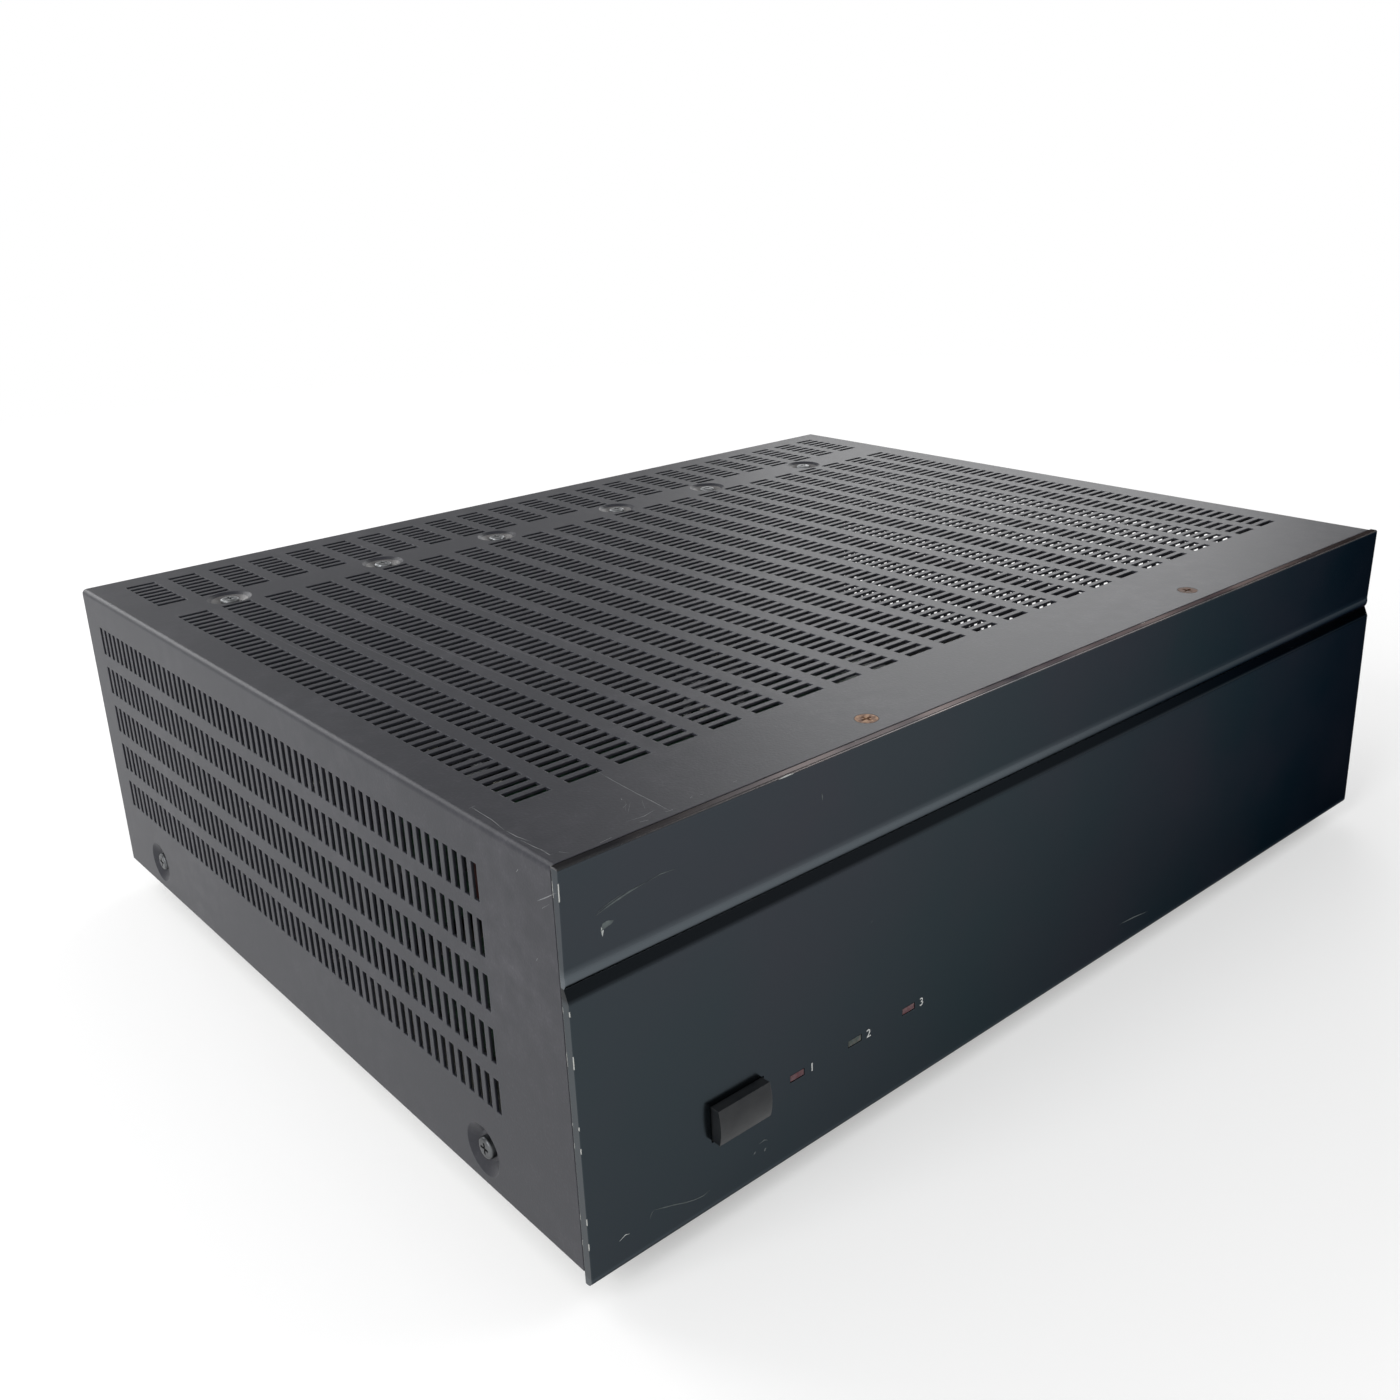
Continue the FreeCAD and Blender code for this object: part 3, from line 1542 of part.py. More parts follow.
os.makedirs("parts", exist_ok=True)
for name, shape in all_parts().items():
    shape.exportStep("parts/" + name + ".step")
    print(name, len(shape.Solids), "solids,", round(shape.Volume / 1000, 2), "cm3")
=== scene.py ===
import json
import math

import bmesh
import bpy
from mathutils import Matrix, Vector


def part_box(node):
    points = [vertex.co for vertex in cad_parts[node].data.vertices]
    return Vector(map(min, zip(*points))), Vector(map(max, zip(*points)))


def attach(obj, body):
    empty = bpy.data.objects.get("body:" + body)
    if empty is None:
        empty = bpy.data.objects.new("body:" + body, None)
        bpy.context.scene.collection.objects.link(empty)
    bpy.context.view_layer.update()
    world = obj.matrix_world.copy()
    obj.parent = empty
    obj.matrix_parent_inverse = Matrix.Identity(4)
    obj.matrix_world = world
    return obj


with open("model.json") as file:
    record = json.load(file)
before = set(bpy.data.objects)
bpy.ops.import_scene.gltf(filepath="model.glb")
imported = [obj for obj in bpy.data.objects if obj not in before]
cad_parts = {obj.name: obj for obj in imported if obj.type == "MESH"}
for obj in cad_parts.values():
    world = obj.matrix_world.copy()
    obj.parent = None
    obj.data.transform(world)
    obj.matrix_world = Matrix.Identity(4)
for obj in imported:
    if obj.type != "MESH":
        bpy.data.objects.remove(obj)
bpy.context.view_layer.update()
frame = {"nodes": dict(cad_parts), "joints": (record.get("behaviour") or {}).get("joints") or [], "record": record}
nodes = frame["nodes"]
print("frame loaded:", len(nodes), "parts")

# places read from the parts themselves, in metres
panelLow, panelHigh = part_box("front_panel")
coverLow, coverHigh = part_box("top_cover")
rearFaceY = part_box("rear_panel")[1].y


def mm(value):
    return value / 1000


def colour(text):
    # sRGB hex to the linear values that the shader sockets take
    parts = [int(text[i:i + 2], 16) / 255 for i in (1, 3, 5)]
    linear = [c / 12.92 if c <= 0.04045 else ((c + 0.055) / 1.055) ** 2.4 for c in parts]
    return (*linear, 1.0)


def mountPlaces(prefix):
    mounts = frame["record"]["mounts"]
    return [Vector(m["pos_m"]) for m in mounts if m["name"].startswith(prefix)]


def perSize(size):
    # scale of a pattern whose features are this many millimetres across
    return 1000 / size


def addNode(tree, kind, links=(), **settings):
    # adds one node: settings are its own properties, links go to its sockets by name or in order
    # and are values, other sockets or whole nodes, whose first output is taken
    node = tree.nodes.new("ShaderNode" + kind)
    for name, value in settings.items():
        setattr(node, name, value)
    for name, value in links.items() if isinstance(links, dict) else enumerate(links):
        if isinstance(value, bpy.types.Node):
            value = value.outputs[0]
        if isinstance(value, bpy.types.NodeSocket):
            tree.links.new(value, node.inputs[name])
        else:
            node.inputs[name].default_value = value
    return node


def newMaterial(name):
    # an empty node tree, and the place on the piece that every pattern starts from
    material = bpy.data.materials.new(name)
    material.use_nodes = True
    tree = material.node_tree
    tree.nodes.clear()
    return material, tree, addNode(tree, "TexCoord").outputs["Object"]


def finishMaterial(material, tree, inputs):
    addNode(tree, "OutputMaterial", {"Surface": addNode(tree, "BsdfPrincipled", inputs)})
    return material


def clouds(tree, place, size, span, levels=(0.0, 1.0), detail=3.0):
    # soft patches of one size in millimetres; the noise's span is drawn out to the levels
    noise = addNode(tree, "TexNoise", {"Vector": place, "Scale": perSize(size), "Detail": detail})
    return addNode(tree, "MapRange", [noise, *span, *levels])


def overlap(tree, *masks):
    # the masks' product: where all of them lie over each other
    covered = masks[0]
    for mask in masks[1:]:
        covered = addNode(tree, "Math", [covered, mask], operation="MULTIPLY")
    return covered


def coats(tree, base, *layers):
    # colours laid over a base one after the other, each where its mask says
    paint = colour(base)
    for mask, over in layers:
        mixed = addNode(tree, "Mix", {0: mask, 6: paint, 7: colour(over)}, data_type="RGBA")
        paint = mixed.outputs[2]  # sockets 0, 6, 7 and output 2 are the ones for colours
    return paint


def relief(tree, height, depth, strength, edgeRound=None):
    # fine relief, on edges as softly rounded as folding, punching and moulding leave them
    links = {"Height": height, "Distance": mm(depth), "Strength": strength}
    if edgeRound:
        links["Normal"] = addNode(tree, "Bevel", {"Radius": mm(edgeRound)}, samples=6)
    return addNode(tree, "Bump", links)


def edgeMask(tree, radius, low=0.01, high=0.2):
    # near 1 along sharp edges and 0 on the flats
    rounded = addNode(tree, "Bevel", {"Radius": mm(radius)}, samples=6)
    flat = addNode(tree, "NewGeometry").outputs["Normal"]
    agree = addNode(tree, "VectorMath", [rounded, flat], operation="DOT_PRODUCT").outputs["Value"]
    apart = addNode(tree, "Math", [1.0, agree], operation="SUBTRACT")
    return addNode(tree, "MapRange", [apart, low, high])


def within(tree, value, low, high):
    # 1 where the value in metres is between low and high
    above = addNode(tree, "Math", [value, low], operation="GREATER_THAN")
    below = addNode(tree, "Math", [value, high], operation="LESS_THAN")
    return overlap(tree, above, below)


coverCoat = {
    # the rim colour is edge wear and a painted highlight along the edges; the dish colour is a painted highlight
    # in the pressed dishes
    "paint": "#26272d", "dust": "#4b4a50", "rim": "#5d5f66", "dishHighlight": "#6f6d6c",
    "rough": 0.42, "specular": 0.3,
    # sizes in millimetres; the real grain is 0.1 to 0.3, drawn coarser so that it shows
    "grain": 0.8, "grainDepth": 0.05, "dustPatch": 70, "dustFine": 6, "speck": 1.1, "rubPatch": 9,
    "rimWidth": 0.35, "foldRound": 0.4,
    # the dishes' floors lie this deep under the top, and this far in from its edges
    "dishFloors": (1.0, 4.5), "dishInset": 12,
}


def powderCoatedSteel(name, look):
    # powder-coated steel sheet: satin, finely pebbled, a little dusty on top, rubbed along edges; the edges also
    # carry a painted highlight, and the pressed dishes are painted lighter as a painted highlight
    material, tree, place = newMaterial(name)
    patches = clouds(tree, place, look["dustPatch"], (0.42, 0.72), detail=5.0)
    fine = clouds(tree, place, look["dustFine"], (0.35, 0.8), detail=6.0)
    specks = clouds(tree, place, look["speck"], (0.5, 0.72), (0.0, 0.35), detail=2.0)
    film = overlap(tree, patches, fine, 0.45)
    dust = addNode(tree, "Math", [film, overlap(tree, specks, fine)], operation="ADD")
    # painted highlight: the pressed dishes of the top are painted lighter, unevenly
    axes = addNode(tree, "SeparateXYZ", [place]).outputs
    high, low = (coverHigh.z - mm(depth) for depth in look["dishFloors"])
    inset = mm(look["dishInset"])
    dishHighlightSpread = addNode(tree, "MapRange", [fine, 0.0, 1.0, 0.45, 0.85])
    paintedDishHighlight = overlap(tree, within(tree, axes["Z"], low, high),
                       within(tree, axes["X"], coverLow.x + inset, coverHigh.x - inset),
                       within(tree, axes["Y"], coverLow.y + inset, coverHigh.y - inset), dishHighlightSpread)
    # edges are rubbed lighter, and painted lighter as a painted highlight where light catches them
    lightened = overlap(tree, edgeMask(tree, look["rimWidth"]),
                     clouds(tree, place, look["rubPatch"], (0.35, 0.6), (0.25, 0.8)))
    grain = addNode(tree, "TexNoise",
                    {"Vector": place, "Scale": perSize(look["grain"]), "Detail": 2.0})
    return finishMaterial(material, tree, {
        "Base Color": coats(tree, look["paint"], (dust, look["dust"]),
                            (paintedDishHighlight, look["dishHighlight"]), (lightened, look["rim"])),
        "Roughness": look["rough"], "Specular IOR Level": look["specular"],
        "Normal": relief(tree, grain, look["grainDepth"], 0.7, look["foldRound"]),
    })


panelFinish = {
    # the band's foot and the low strip take the lighter colour as a painted reflection; the dark groove colour is
    # a painted shade; the top edge colour is a painted highlight
    "dye": "#384145", "worn": "#404147", "bare": "#c9cac6", "lightened": "#62696e",
    "grime": "#15181b", "paintedTopEdgeHighlight": "#746f6e", "rough": 0.2,
    "skim": "#8b8888",  # how little the face reflects at skimming angles; cut ends reflect all
    # sizes in millimetres
    "smear": 90, "bandHeight": 35.5, "bandFootSetback": 1.0, "bandTopSetback": 0.2,
    "grooveSlope": 4.0, "topRound": 0.8, "lip": 0.45, "lowStrip": 3.2,
    "footReflectionFade": (-30, 60),  # the painted reflection on the band's foot fades out between these, towards the right
    # heights at which the left front edge has been knocked
    "chips": [(21.5, 23.7), (30, 32.2), (54, 56), (61.5, 62.6), (81, 85.2), (97.4, 99.2),
              (131.5, 136.5)],
}


def anodisedAluminium(name, look):
    # black anodised aluminium: smooth satin gloss, bare metal where the dyed layer is chipped
    material, tree, place = newMaterial(name)
    axes = addNode(tree, "SeparateXYZ", [place]).outputs
    across, height = axes["X"], axes["Z"]
    smear = clouds(tree, place, look["smear"], (0.3, 0.75), detail=4.0)
    # painted reflection: the rounded foot of the upper band is painted lighter, fading out to the right; painted
    # shade: the slope under it is painted dark
    foot = panelHigh.z - mm(look["bandHeight"])
    slope = mm(look["grooveSlope"])
    start, end = (mm(x) for x in look["footReflectionFade"])
    footReflectionFade = addNode(tree, "MapRange", [across, start, end, 0.85, 0.3])
    paintedFootReflection = overlap(tree, addNode(tree, "Math", [height, foot], operation="GREATER_THAN"),
                     addNode(tree, "MapRange",
                             [height, foot + slope * 0.5, foot + slope * 1.5, 1.0, 0.0]),
                     footReflectionFade)
    # painted shade on the slope of the groove
    paintedGrooveShade = overlap(tree, addNode(tree, "Math", [height, foot], operation="LESS_THAN"),
                      addNode(tree, "MapRange",
                              [height, foot - slope * 1.15, foot - slope * 0.75]), 0.9)
    # painted reflection: a narrow strip along the lower edge is painted lighter; painted highlight: the top edge
    # is painted lighter along most of its length
    paintedLowReflection = addNode(tree, "MapRange", [height, panelLow.z + mm(look["lowStrip"] * 0.7),
                                       panelLow.z + mm(look["lowStrip"]), 0.4, 0.0])
    lip = addNode(tree, "Math", [height, panelHigh.z - mm(look["lip"])], operation="GREATER_THAN")
    # painted highlight along the top edge
    paintedLipHighlight = overlap(tree, lip, clouds(tree, place, 60, (0.35, 0.6), (0.2, 1.0)))
    # chips down the left front edge, with wavy ends
    wave = clouds(tree, place, 1.2, (0.0, 1.0), (mm(-0.8), mm(0.8)))
    knocked = addNode(tree, "Math", [height, wave], operation="ADD")
    chips = 0.0
    for low, high in look["chips"]:
        chips = addNode(tree, "Math", [chips, within(tree, knocked, mm(low), mm(high))],
                        operation="MAXIMUM")
    nearLeft = addNode(tree, "Math", [across, coverLow.x + mm(0.5)], operation="LESS_THAN")
    edge = edgeMask(tree, 0.5, 0.005, 0.03)
    # small nicks along the upper front edge
    nearTop = addNode(tree, "Math", [height, panelHigh.z - mm(1.2)], operation="GREATER_THAN")
    nicks = overlap(tree, clouds(tree, place, 5, (0.66, 0.7)), nearTop, edge)
    bare = addNode(tree, "Math", [overlap(tree, chips, nearLeft, edge), nicks],
                   operation="MAXIMUM")
    # the cut ends are satin all the way to the skimming angles, where the face turns dark
    sideways = addNode(tree, "Math", [across], operation="ABSOLUTE")
    onEnd = addNode(tree, "Math", [sideways, panelHigh.x - mm(0.2)], operation="GREATER_THAN")
    # rolling lines run along the panel
    along = addNode(tree, "Mapping", {"Vector": place, "Scale": (0.02, 1, 1)})
    hair = addNode(tree, "TexNoise", {"Vector": along, "Scale": perSize(0.6), "Detail": 2.0})
    return finishMaterial(material, tree, {
        "Base Color": coats(tree, look["dye"], (overlap(tree, smear, 0.8), look["worn"]),
                            (paintedFootReflection, look["lightened"]), (paintedGrooveShade, look["grime"]),
                            (paintedLowReflection, look["lightened"]), (paintedLipHighlight, look["paintedTopEdgeHighlight"]),
                            (bare, look["bare"])),
        "Metallic": 1.0, "Specular Tint": coats(tree, look["skim"], (onEnd, "#ffffff")),
        "Roughness": addNode(tree, "MapRange",
                             [smear, 0.0, 1.0, look["rough"] - 0.04, look["rough"] + 0.06]),
        "Normal": relief(tree, hair, 0.01, 0.25, 0.3),
    })


def mouldedPlastic(name, tint, rough=0.45, texture=0.7, depth=0.02, fade=0.12, specular=0.5):
    # injection-moulded plastic: even colour, spark-eroded texture, softly rounded edges
    material, tree, place = newMaterial(name)
    faded = clouds(tree, place, 14, (0.35, 0.75), (0.0, fade), detail=4.0)
    # edges are rubbed pale
    lightened = overlap(tree, edgeMask(tree, 0.3), 0.12)
    pale = addNode(tree, "Math", [faded, lightened], operation="MAXIMUM")
    grain = addNode(tree, "TexNoise",
                    {"Vector": place, "Scale": perSize(texture), "Detail": 2.0})
    return finishMaterial(material, tree, {
        "Base Color": coats(tree, tint, (pale, "#b8b8b4")),
        "Roughness": rough, "Specular IOR Level": specular,
        "Normal": relief(tree, grain, depth, 0.5, 0.25),
    })


def platedMetal(name, tint, stain, rough=0.32, amount=0.3, metallic=1.0):
    # plated or bare metal: bright, with patches of tarnish that are rougher than the rest
    material, tree, place = newMaterial(name)
    patch = clouds(tree, place, 4, (0.4, 0.65), detail=5.0)
    along = addNode(tree, "Mapping", {"Vector": place, "Scale": (1, 0.1, 1)})
    lines = addNode(tree, "TexNoise", {"Vector": along, "Scale": perSize(0.5), "Detail": 2.0})
    return finishMaterial(material, tree, {
        "Base Color": coats(tree, tint, (overlap(tree, patch, amount), stain)),
        "Metallic": metallic,
        "Roughness": addNode(tree, "MapRange", [patch, 0.0, 1.0, rough, rough + 0.25]),
        "Normal": relief(tree, lines, 0.01, 0.3, 0.2),
    })


def rustySteel(name):
    # countersunk steel screws whose plating has rusted: matt orange-brown, darker on the right
    material, tree, place = newMaterial(name)
    across = addNode(tree, "SeparateXYZ", [place]).outputs["X"]
    right = addNode(tree, "Math", [across, 0.0], operation="GREATER_THAN")
    spots = clouds(tree, place, 1.4, (0.4, 0.62), detail=5.0)
    return finishMaterial(material, tree, {
        "Base Color": coats(tree, "#97775d", (right, "#564840"), (spots, "#5d4030")),
        "Metallic": 0.25, "Roughness": 0.62, "Normal": relief(tree, spots, 0.05, 0.6),
    })


def solderMask(name):
    # glass-fibre board under green solder mask, with a hint of the copper tracks beneath
    material, tree, place = newMaterial(name)
    cells = addNode(tree, "TexVoronoi", {"Vector": place, "Scale": perSize(7)},
                    distance="MANHATTAN", feature="DISTANCE_TO_EDGE").outputs["Distance"]
    tracks = addNode(tree, "MapRange", [cells, 0.05, 0.09])
    return finishMaterial(material, tree, {
        "Base Color": coats(tree, "#1f3d2a", (tracks, "#11241a")),
        "Roughness": 0.35, "Normal": relief(tree, tracks, 0.04, 0.4),
    })


winding = {"wires": 180, "wraps": 22}  # how many of each go round the ring


def windingFilm(name, centre):
    # copper windings seen through clear polyester film that is wrapped round the ring
    material, tree, place = newMaterial(name)
    centred = addNode(tree, "Mapping", {"Vector": place, "Location": -centre})
    axes = addNode(tree, "SeparateXYZ", [centred]).outputs
    angle = addNode(tree, "Math", [axes["Y"], axes["X"]], operation="ARCTAN2")
    wires, wraps = (
        addNode(tree, "Math", [overlap(tree, angle, winding[part])], operation="SINE")
        for part in ("wires", "wraps"))
    copper = addNode(tree, "MapRange", [wires, -1.0, 1.0])
    cloudy = clouds(tree, place, 18, (0.4, 0.7), (0.1, 0.55), detail=4.0)
    folds = addNode(tree, "MapRange", [wraps, 0.8, 1.0])
    height = addNode(tree, "Math", [overlap(tree, wires, 0.25), folds], operation="ADD")
    return finishMaterial(material, tree, {
        "Base Color": coats(tree, "#7d4a22", (copper, "#c98a4a"), (cloudy, "#b9aa94")),
        "Roughness": 0.3, "Coat Weight": 0.7, "Coat Roughness": 0.12,
        "Normal": relief(tree, height, 0.5, 0.6),
    })


def lampLens(name, tint):
    # diffused epoxy lamp, unlit: a deep tint with a waxy, slightly translucent face
    material, tree, place = newMaterial(name)
    spread = clouds(tree, place, 2.5, (0.35, 0.7), (0.0, 0.3))
    wax = addNode(tree, "TexNoise", {"Vector": place, "Scale": perSize(1.0), "Detail": 3.0})
    return finishMaterial(material, tree, {
        "Base Color": coats(tree, tint, (spread, "#8f8080")),
        "Roughness": 0.3, "Specular IOR Level": 0.3,
        "Subsurface Weight": 0.2, "Subsurface Scale": mm(1),
        "Normal": relief(tree, wax, 0.03, 0.4),
    })


jackPairs = {"pitch": 52, "reach": 4.5, "middle": 13.5}  # across the panel, in millimetres


def jackInsulator(name):
    # moulded insulators of the jacks: white for one side of a pair and red for the other
    material, tree, place = newMaterial(name)
    across = addNode(tree, "SeparateXYZ", [place]).outputs["X"]
    start = min(spot.x for spot in mountPlaces("input_jack")) - mm(jackPairs["reach"])
    phase = addNode(tree, "Math", [across, start], operation="SUBTRACT")
    inPair = addNode(tree, "Math", [phase, mm(jackPairs["pitch"])], operation="FLOORED_MODULO")
    second = addNode(tree, "Math", [inPair, mm(jackPairs["middle"])], operation="GREATER_THAN")
    # grime darkens the insulators in patches
    grime = clouds(tree, place, 3, (0.3, 0.8), (0.0, 0.12))
    grain = addNode(tree, "TexNoise", {"Vector": place, "Scale": perSize(0.6), "Detail": 3.0})
    return finishMaterial(material, tree, {
        "Base Color": coats(tree, "#d8d8d2", (second, "#8e1c1c"), (grime, "#77726c")),
        "Roughness": 0.35, "Normal": relief(tree, grain, 0.02, 0.4),
    })


def capacitorSleeve(name):
    # shrink-sleeved cans: dark plastic sleeve round the side, bare aluminium on top
    material, tree, place = newMaterial(name)
    height = addNode(tree, "SeparateXYZ", [place]).outputs["Z"]
    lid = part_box("filter_capacitors")[1].z - mm(0.6)
    top = addNode(tree, "Math", [height, lid], operation="GREATER_THAN")
    tint = clouds(tree, place, 20, (0.3, 0.8), (0.0, 0.2))
    creases = addNode(tree, "TexNoise", {"Vector": place, "Scale": perSize(2.0), "Detail": 3.0})
    return finishMaterial(material, tree, {
        "Base Color": coats(tree, "#141c33", (tint, "#4a5266"), (top, "#c4c6c8")),
        "Metallic": top, "Roughness": 0.32, "Normal": relief(tree, creases, 0.03, 0.3),
    })


def screenInk(name, tint):
    # screen-printed epoxy ink, slightly uneven where it is thin
    material, tree, place = newMaterial(name)
    thin = clouds(tree, place, 1.5, (0.45, 0.8), (0.0, 0.4), detail=4.0)
    return finishMaterial(material, tree, {
        "Base Color": coats(tree, tint, (thin, "#7c7f80")), "Roughness": 0.55,
    })


# each finish: its look, then the parts that have it
plastics = {
    "texturedButton": (dict(tint="#16191d", rough=0.3, texture=0.6, fade=0.05, specular=0.28),
                       ["power_button"]),
    "mouldedKnob": (dict(tint="#17181a", rough=0.4),
                    ["level_knob_%02d" % number for number in range(1, 13)]),
    "blackMoulding": (dict(tint="#141516", rough=0.4),
                      ["mains_switch", "level_pots", "trigger_jacks", "mode_switch_body",
                       "mains_inlet", "protection_relays"]),
    "switchSlider": (dict(tint="#d4d3cc"), ["mode_switch_slider"]),
    "epoxyPackage": (dict(tint="#1b1b1c", rough=0.5, texture=0.5),
                     ["output_chips", "bridge_rectifiers"]),
    "greenHeader": (dict(tint="#1f6b45", rough=0.4), ["speaker_headers"]),
    "footRubber": (dict(tint="#1a1a1a", rough=0.8, texture=0.9, depth=0.04), ["feet"]),
    "foamRubber": (dict(tint="#202020", rough=0.9, texture=0.8, depth=0.08),
                   ["transformer_pads"]),
    "cableSheath": (dict(tint="#26272a", rough=0.5, texture=1.2), ["mains_harness"]),
    "powerWire": (dict(tint="#52221f", texture=1.2), ["power_harness"]),
    "signalWire": (dict(tint="#8d8f91", texture=1.2), ["signal_harness"]),
}
metals = {
    "zincPlatedSheet": (dict(tint="#8d8f88", stain="#74746b", rough=0.38),
                        ["base_chassis", "front_subpanel"]),
    "anodisedExtrusion": (dict(tint="#8f9193", stain="#6c6e70", rough=0.42),
                          ["heatsink_left", "heatsink_middle", "heatsink_right"]),
    "nickelPlate": (dict(tint="#c9c6bd", stain="#8d887c", rough=0.2, amount=0.4),
                    ["rca_jack_barrels", "speaker_header_pins", "mains_inlet_pins"]),
    "zincPlatedScrew": (dict(tint="#b4b4ac", stain="#8b8a80", rough=0.3),
                        ["transformer_washer", "transformer_bolt", "board_standoffs",
                         "board_screws", "foot_screws"]),
    "dullZincScrew": (dict(tint="#8e9092", stain="#5b5c5c", rough=0.35, amount=0.5),
                      ["heatsink_screws"]),
    "blackenedScrew": (dict(tint="#4b4d4f", stain="#8f9193", rough=0.35, amount=0.5),
                       ["side_screws", "chassis_screws"]),
}


def dress(material, parts):
    for part in parts:
        mesh = nodes[part].data
        mesh.materials.clear()
        mesh.materials.append(material)


# the rear's rim colour is edge wear and a painted highlight along its edges, as on the cover
rearCoat = dict(coverCoat, paint="#1e1f21", dust="#3a3a3b", rim="#4a4b4d")
transformerLow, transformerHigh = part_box("transformer")
dress(powderCoatedSteel("powderCoatedCover", coverCoat), ["top_cover"])
dress(anodisedAluminium("anodisedPanel", panelFinish), ["front_panel"])
dress(powderCoatedSteel("powderCoatedRear", rearCoat), ["rear_panel"])
for name, (look, parts) in plastics.items():
    dress(mouldedPlastic(name, **look), parts)
for name, (look, parts) in metals.items():
    dress(platedMetal(name, **look), parts)
dress(rustySteel("rustedScrew"), ["front_top_screws"])
dress(solderMask("solderMask"), ["led_board", "power_board", "amp_board_left",
                                 "amp_board_middle", "amp_board_right", "jack_board"])
dress(windingFilm("filmWrappedCopper", (transformerLow + transformerHigh) / 2), ["transformer"])
dress(capacitorSleeve("sleevedAluminium"), ["filter_capacitors"])
dress(lampLens("redLamp", "#4a1622"), ["led_power", "led_protect"])
dress(lampLens("greenLamp", "#2f3b35"), ["led_active"])
dress(jackInsulator("jackInsulator"), ["rca_jack_bodies"])
print("finishes given to the parts")


def addPiece(name, mesh):
    piece = bpy.data.objects.new(name, mesh)
    bpy.context.scene.collection.objects.link(piece)
    return piece


def finishPiece(bm, name, body, material):
    # one new piece: closed, facing outwards, riding on a body
    bmesh.ops.remove_doubles(bm, verts=bm.verts, dist=mm(0.0005))
    bmesh.ops.recalc_face_normals(bm, faces=bm.faces)
    mesh = bpy.data.meshes.new(name)
    bm.to_mesh(mesh)
    bm.free()
    mesh.materials.append(material)
    piece = addPiece(name, mesh)
    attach(piece, body)


def addBox(bm, low, high):
    size = Vector(high) - Vector(low)
    middle = (Vector(high) + Vector(low)) / 2
    place = Matrix.Translation(middle) @ Matrix.Diagonal(size).to_4x4()
    return bmesh.ops.create_cube(bm, size=1.0, matrix=place)["verts"]


scuffs = {
    "proud": 0.02,
    "tip": 0.08,  # how far each side of a mark stands off its line at the ends, of its width
    # places on the panel's face as (x, z), with the widest part of each mark, in millimetres
    "dull": [
        ([(-208.9, 123.0), (-203.6, 124.4), (-197.6, 125.6), (-192.1, 126.2)], 0.55),
        ([(-208.6, 123.7), (-204.6, 124.9), (-200.2, 125.9)], 0.3),
        ([(-192.1, 126.2), (-187.3, 126.7), (-182.1, 126.3)], 0.3),
        ([(-207.9, 117.6), (-206.4, 118.9), (-204.9, 119.2), (-203.6, 119.2)], 2.0),
        ([(-197.0, 21.6), (-193.0, 20.2), (-189.2, 18.9), (-185.0, 17.2), (-181.6, 16.2),
          (-178.3, 15.7), (-175.6, 16.3)], 0.3),
        ([(-197.0, 21.6), (-198.0, 20.6), (-198.4, 19.4)], 0.25),
        ([(-155.6, 21.6), (-153.4, 22.0), (-151.8, 21.0)], 0.4),
        ([(-126.3, 130.1), (-126.0, 128.8), (-125.9, 127.5)], 0.5),
        ([(-105.6, 78.1), (-104.8, 78.7)], 0.6),
        ([(35.7, 19.0), (45.4, 18.2), (54.6, 16.9)], 0.4),
    ],
    "bright": [
        ([(-207.6, 118.7), (-207.2, 117.4), (-207.3, 115.9)], 0.8),
        ([(-209.6, 18.3), (-207.4, 19.2), (-205.9, 18.7)], 0.35),
        ([(-157.8, 19.0), (-157.2, 19.7)], 0.5),
        ([(-153.5, 17.9), (-152.9, 18.6)], 0.4),
        ([(-143.6, 140.1), (-140.6, 140.25), (-137.6, 140.1)], 0.5),
    ],
    # places on the cover's top as (x, y) and on its left side as (y, z)
    "top": [
        ([(-154.3, -172.1), (-153.0, -172.2)], 0.7), ([(-166.4, -171.9), (-165.2, -172.2)], 0.6),
        ([(-169.6, -171.4), (-168.6, -171.2)], 0.6), ([(-180.0, -173.3), (-177.6, -173.6)], 0.7),
        ([(-188.6, -173.2), (-186.2, -173.9)], 0.8), ([(-203.5, -175.3), (-199.5, -175.0)], 0.6),
        ([(-177.0, -137.8), (-177.7, -147.6), (-178.2, -158.1), (-178.3, -166.4),
          (-178.6, -173.4)], 0.13),
        ([(-215.8, -132.9), (-216.0, -137.3), (-216.1, -143.3), (-217.1, -150.9)], 0.17),
        ([(-217.0, -152.0), (-216.9, -156.6), (-215.8, -162.1)], 0.22),
        ([(-217.3, -159.2), (-216.9, -165.1), (-216.1, -169.5)], 0.18),
        ([(-216.6, -166.7), (-216.6, -171.5), (-213.9, -171.8), (-212.2, -174.7)], 0.2),
        ([(-216.7, -132.8), (-214.7, -132.6)], 0.4), ([(-183.6, -160.2), (-187.0, -164.9)], 0.16),
        ([(-183.2, -162.0), (-187.4, -166.4)], 0.16), ([(-179.7, -162.7), (-182.7, -167.9)], 0.16),
        ([(-186.4, -162.9), (-184.4, -162.0)], 0.5), ([(-183.7, -158.9), (-183.2, -157.9)], 0.6),
        ([(-191.0, -170.4), (-185.6, -171.2), (-181.4, -170.3)], 0.18),
    ],
    "side": [
        ([(-168.9, 127.5), (-172.8, 129.9), (-178.2, 133.5)], 0.3),
        ([(-170.8, 126.0), (-174.5, 128.8)], 0.25),
        ([(-160.1, 132.6), (-160.9, 133.6)], 0.6), ([(-166.0, 108.4), (-166.6, 109.4)], 0.7),
    ],
}


